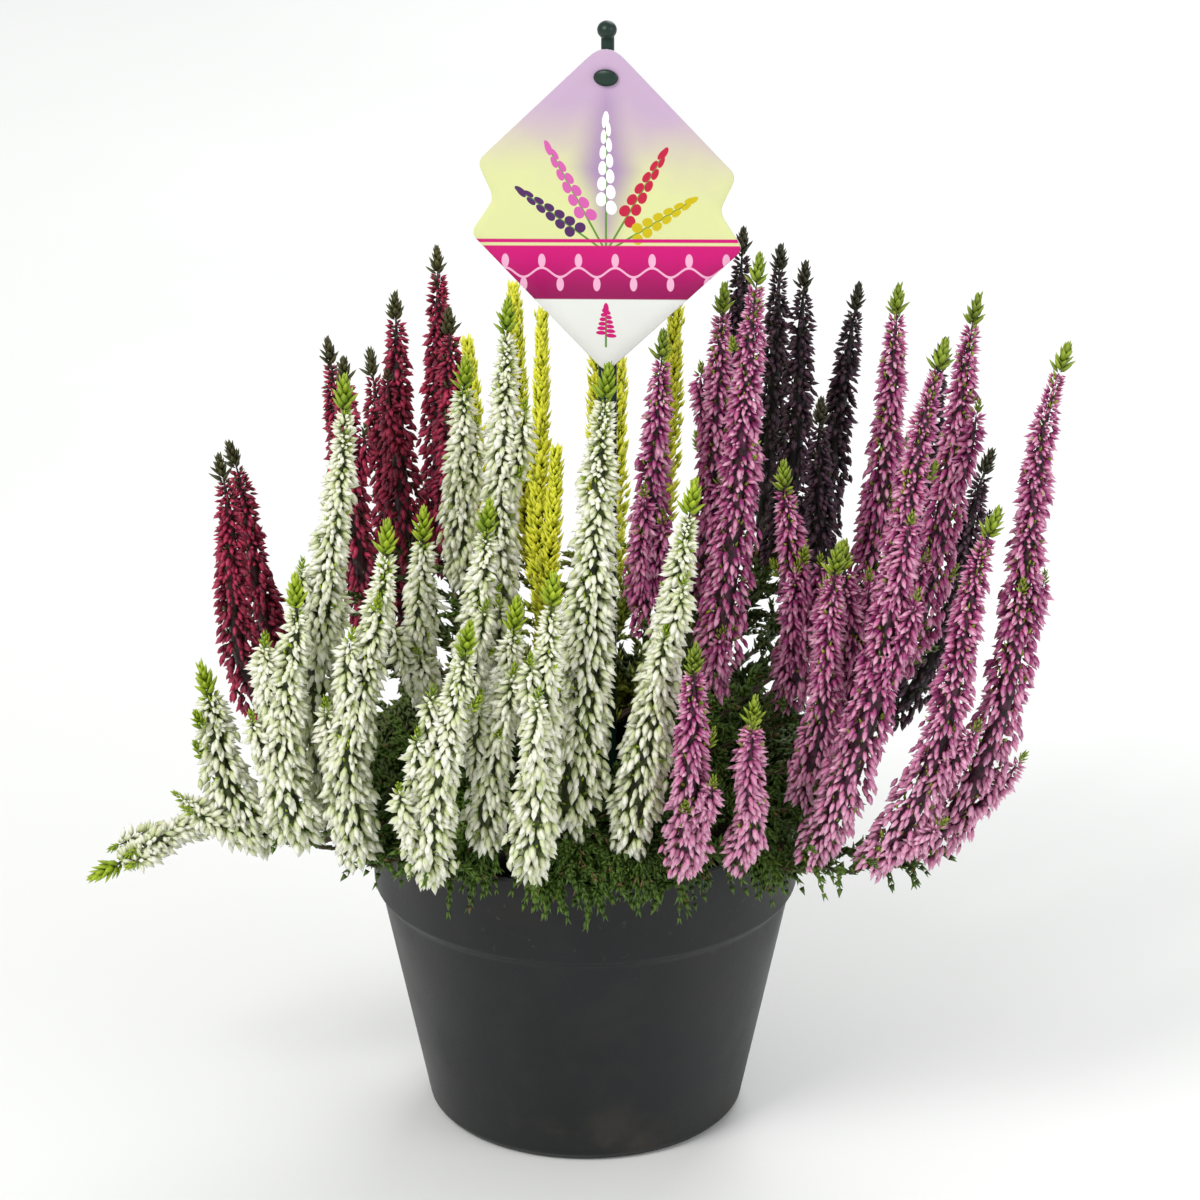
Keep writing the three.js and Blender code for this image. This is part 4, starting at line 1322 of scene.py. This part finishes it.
# Yellow-green shoots of the fifth heather, which has no flowers: tapering spires of small scale
# leaves, crowded round a thin stem. Each leaf is gold at its tip and deep green at its foot.
SHOOT_LEAF = 3.7
SHOOT_PITCH = 0.12
SHOOT_PROUD = 1.4
SHOOT_STEM = (1.0, 0.4)
SHOOT_STEM_SIDES = 5
GOLD = "#f6f345"
SHOOT_GREEN = "#ccd42a"
SHOOT_DEEP = "#8a9c1e"


def shoot_swell(share):
    """A leafy shoot narrows all the way from its foot to its tip."""
    return np.minimum(1, 0.7 + 3 * share) * (1 - 0.62 * share)


def spire(line, radius):
    """Leaves in a golden-angle spiral from foot to tip, each springing out and then upright."""
    count = int(length_of(line) / SHOOT_PITCH)
    number = np.arange(count)
    share = (number + chance.random(count)) / count
    turn = number * GOLDEN_ANGLE + chance.normal(0, 0.2, count)
    at, tangent, out = scattered(line, share, turn)
    size = SHOOT_LEAF * (1 - 0.3 * share) * chance.uniform(0.8, 1.2, count)
    open_by = (0.95 - 0.45 * share + chance.normal(0, 0.12, count))[:, None]
    heading = tangent * np.cos(open_by) + out * np.sin(open_by)
    reach = radius * shoot_swell(share) * chance.uniform(0.55, 1.05, count)
    root = np.maximum(reach - size * np.sin(open_by[:, 0]), 0.2)
    foot = at + out * root[:, None]
    bow = tangent * (size * 0.25)[:, None]
    return pods(foot, heading * size[:, None], size * 0.27, size * 0.16, bow, NEEDLE, 4, out)


def shoot_paint(shade):
    """Gold tips over green, with deep green at the foot of each leaf and its own tone to each."""
    at = shade.place()
    own = shade.mark("chance")
    patch = shade.noise(at, 60, 2.0)
    tone = shade.mark("along") * 0.8 + own * 0.4 + patch * 0.4 - 0.35
    low = shade.mark("along").fade(0.5, 0.0).mix(SHOOT_GREEN, SHOOT_DEEP)
    grain = shade.noise(at, 1500, 2.0)
    return {
        "Base Color": shade.mark("wood").mix(tone.fade(0.1, 0.9).mix(low, GOLD), WOOD),
        "Roughness": grain * 0.2 + 0.4,
        "Normal": shade.bump(grain, 0.0001),
    }


shoot_finish = new_finish("yellow heather leaves", shoot_paint)
for node, (line, radius) in shoot_lines["yellow"].items():
    leaves = spire(line, radius + SHOOT_PROUD)
    stem = tubes(line[None], np.linspace(*SHOOT_STEM, len(line))[None], SHOOT_STEM_SIDES)
    name = node.replace("leafy_", "")
    shoot_mesh = plant_mesh(name, marked(stem, AS_WOOD), marked(leaves, AS_LEAF))
    new_piece(name, shoot_mesh, shoot_finish, "yellow_shoots", node)

# Floor and light: the pot stands on a plain pale floor under soft studio lamps, and the camera
# stands as it stood for the photograph, a long lens 20 degrees above level.
FLOOR_SIZE = 4000
FLOOR_GREY = "#e9ebea"
FLOOR_WHITE = "#f2f3f2"
LAMP_AIM = (0, 0, 0.15)
SKY_LIGHT = 0.62
CAMERA_AT = (0.0407, -1.2459, 0.6455)
CAMERA_AIM = (0.004, 0.0, 0.150)
LENS = 147


def pointed(thing, at, aim):
    """Places a lamp or the camera and turns it to look at a point."""
    thing.location = at
    way = Vector(aim) - Vector(at)
    thing.rotation_euler = way.to_track_quat("-Z", "Y").to_euler()
    bpy.context.scene.collection.objects.link(thing)


def lamp(name, at, size, power, tint):
    """A square soft box that points at the middle of the plant."""
    light = bpy.data.lights.new(name, "AREA")
    light.size = size
    light.energy = power
    light.color = tint
    pointed(bpy.data.objects.new(name, light), at, LAMP_AIM)


def floor_paint(shade):
    """Off-white, with the faintest cloudiness."""
    cloud = shade.noise(shade.place(), 3.0, 3.0)
    return {"Base Color": cloud.mix(FLOOR_GREY, FLOOR_WHITE), "Roughness": cloud * 0.1 + 0.5}


corner = FLOOR_SIZE / 2 * np.array([[-1, -1, 0], [1, -1, 0], [1, 1, 0], [-1, 1, 0]])
floor_mesh = new_mesh("floor", corner, np.array([[0, 1, 2], [0, 2, 3]]))
floor_mesh.materials.append(new_finish("pale floor", floor_paint))
floor = bpy.data.objects.new("floor", floor_mesh)
bpy.context.scene.collection.objects.link(floor)

world = bpy.data.worlds.new("studio")
world.use_nodes = True
world.node_tree.nodes["Background"].inputs["Color"].default_value = (1, 1, 1, 1)
world.node_tree.nodes["Background"].inputs["Strength"].default_value = SKY_LIGHT
bpy.context.scene.world = world
lamp("key", (-0.9, -1.1, 1.5), 0.7, 20, (1.0, 0.99, 0.97))
lamp("fill", (1.3, -0.8, 0.8), 1.0, 6, (0.97, 0.98, 1.0))
lamp("back", (0.4, 1.3, 1.2), 0.9, 11, (1.0, 1.0, 1.0))

camera = bpy.data.objects.new("camera", bpy.data.cameras.new("camera"))
camera.data.lens = LENS
camera.data.sensor_width = 36
pointed(camera, CAMERA_AT, CAMERA_AIM)
bpy.context.scene.camera = camera
bpy.context.scene.view_settings.view_transform = "Standard"
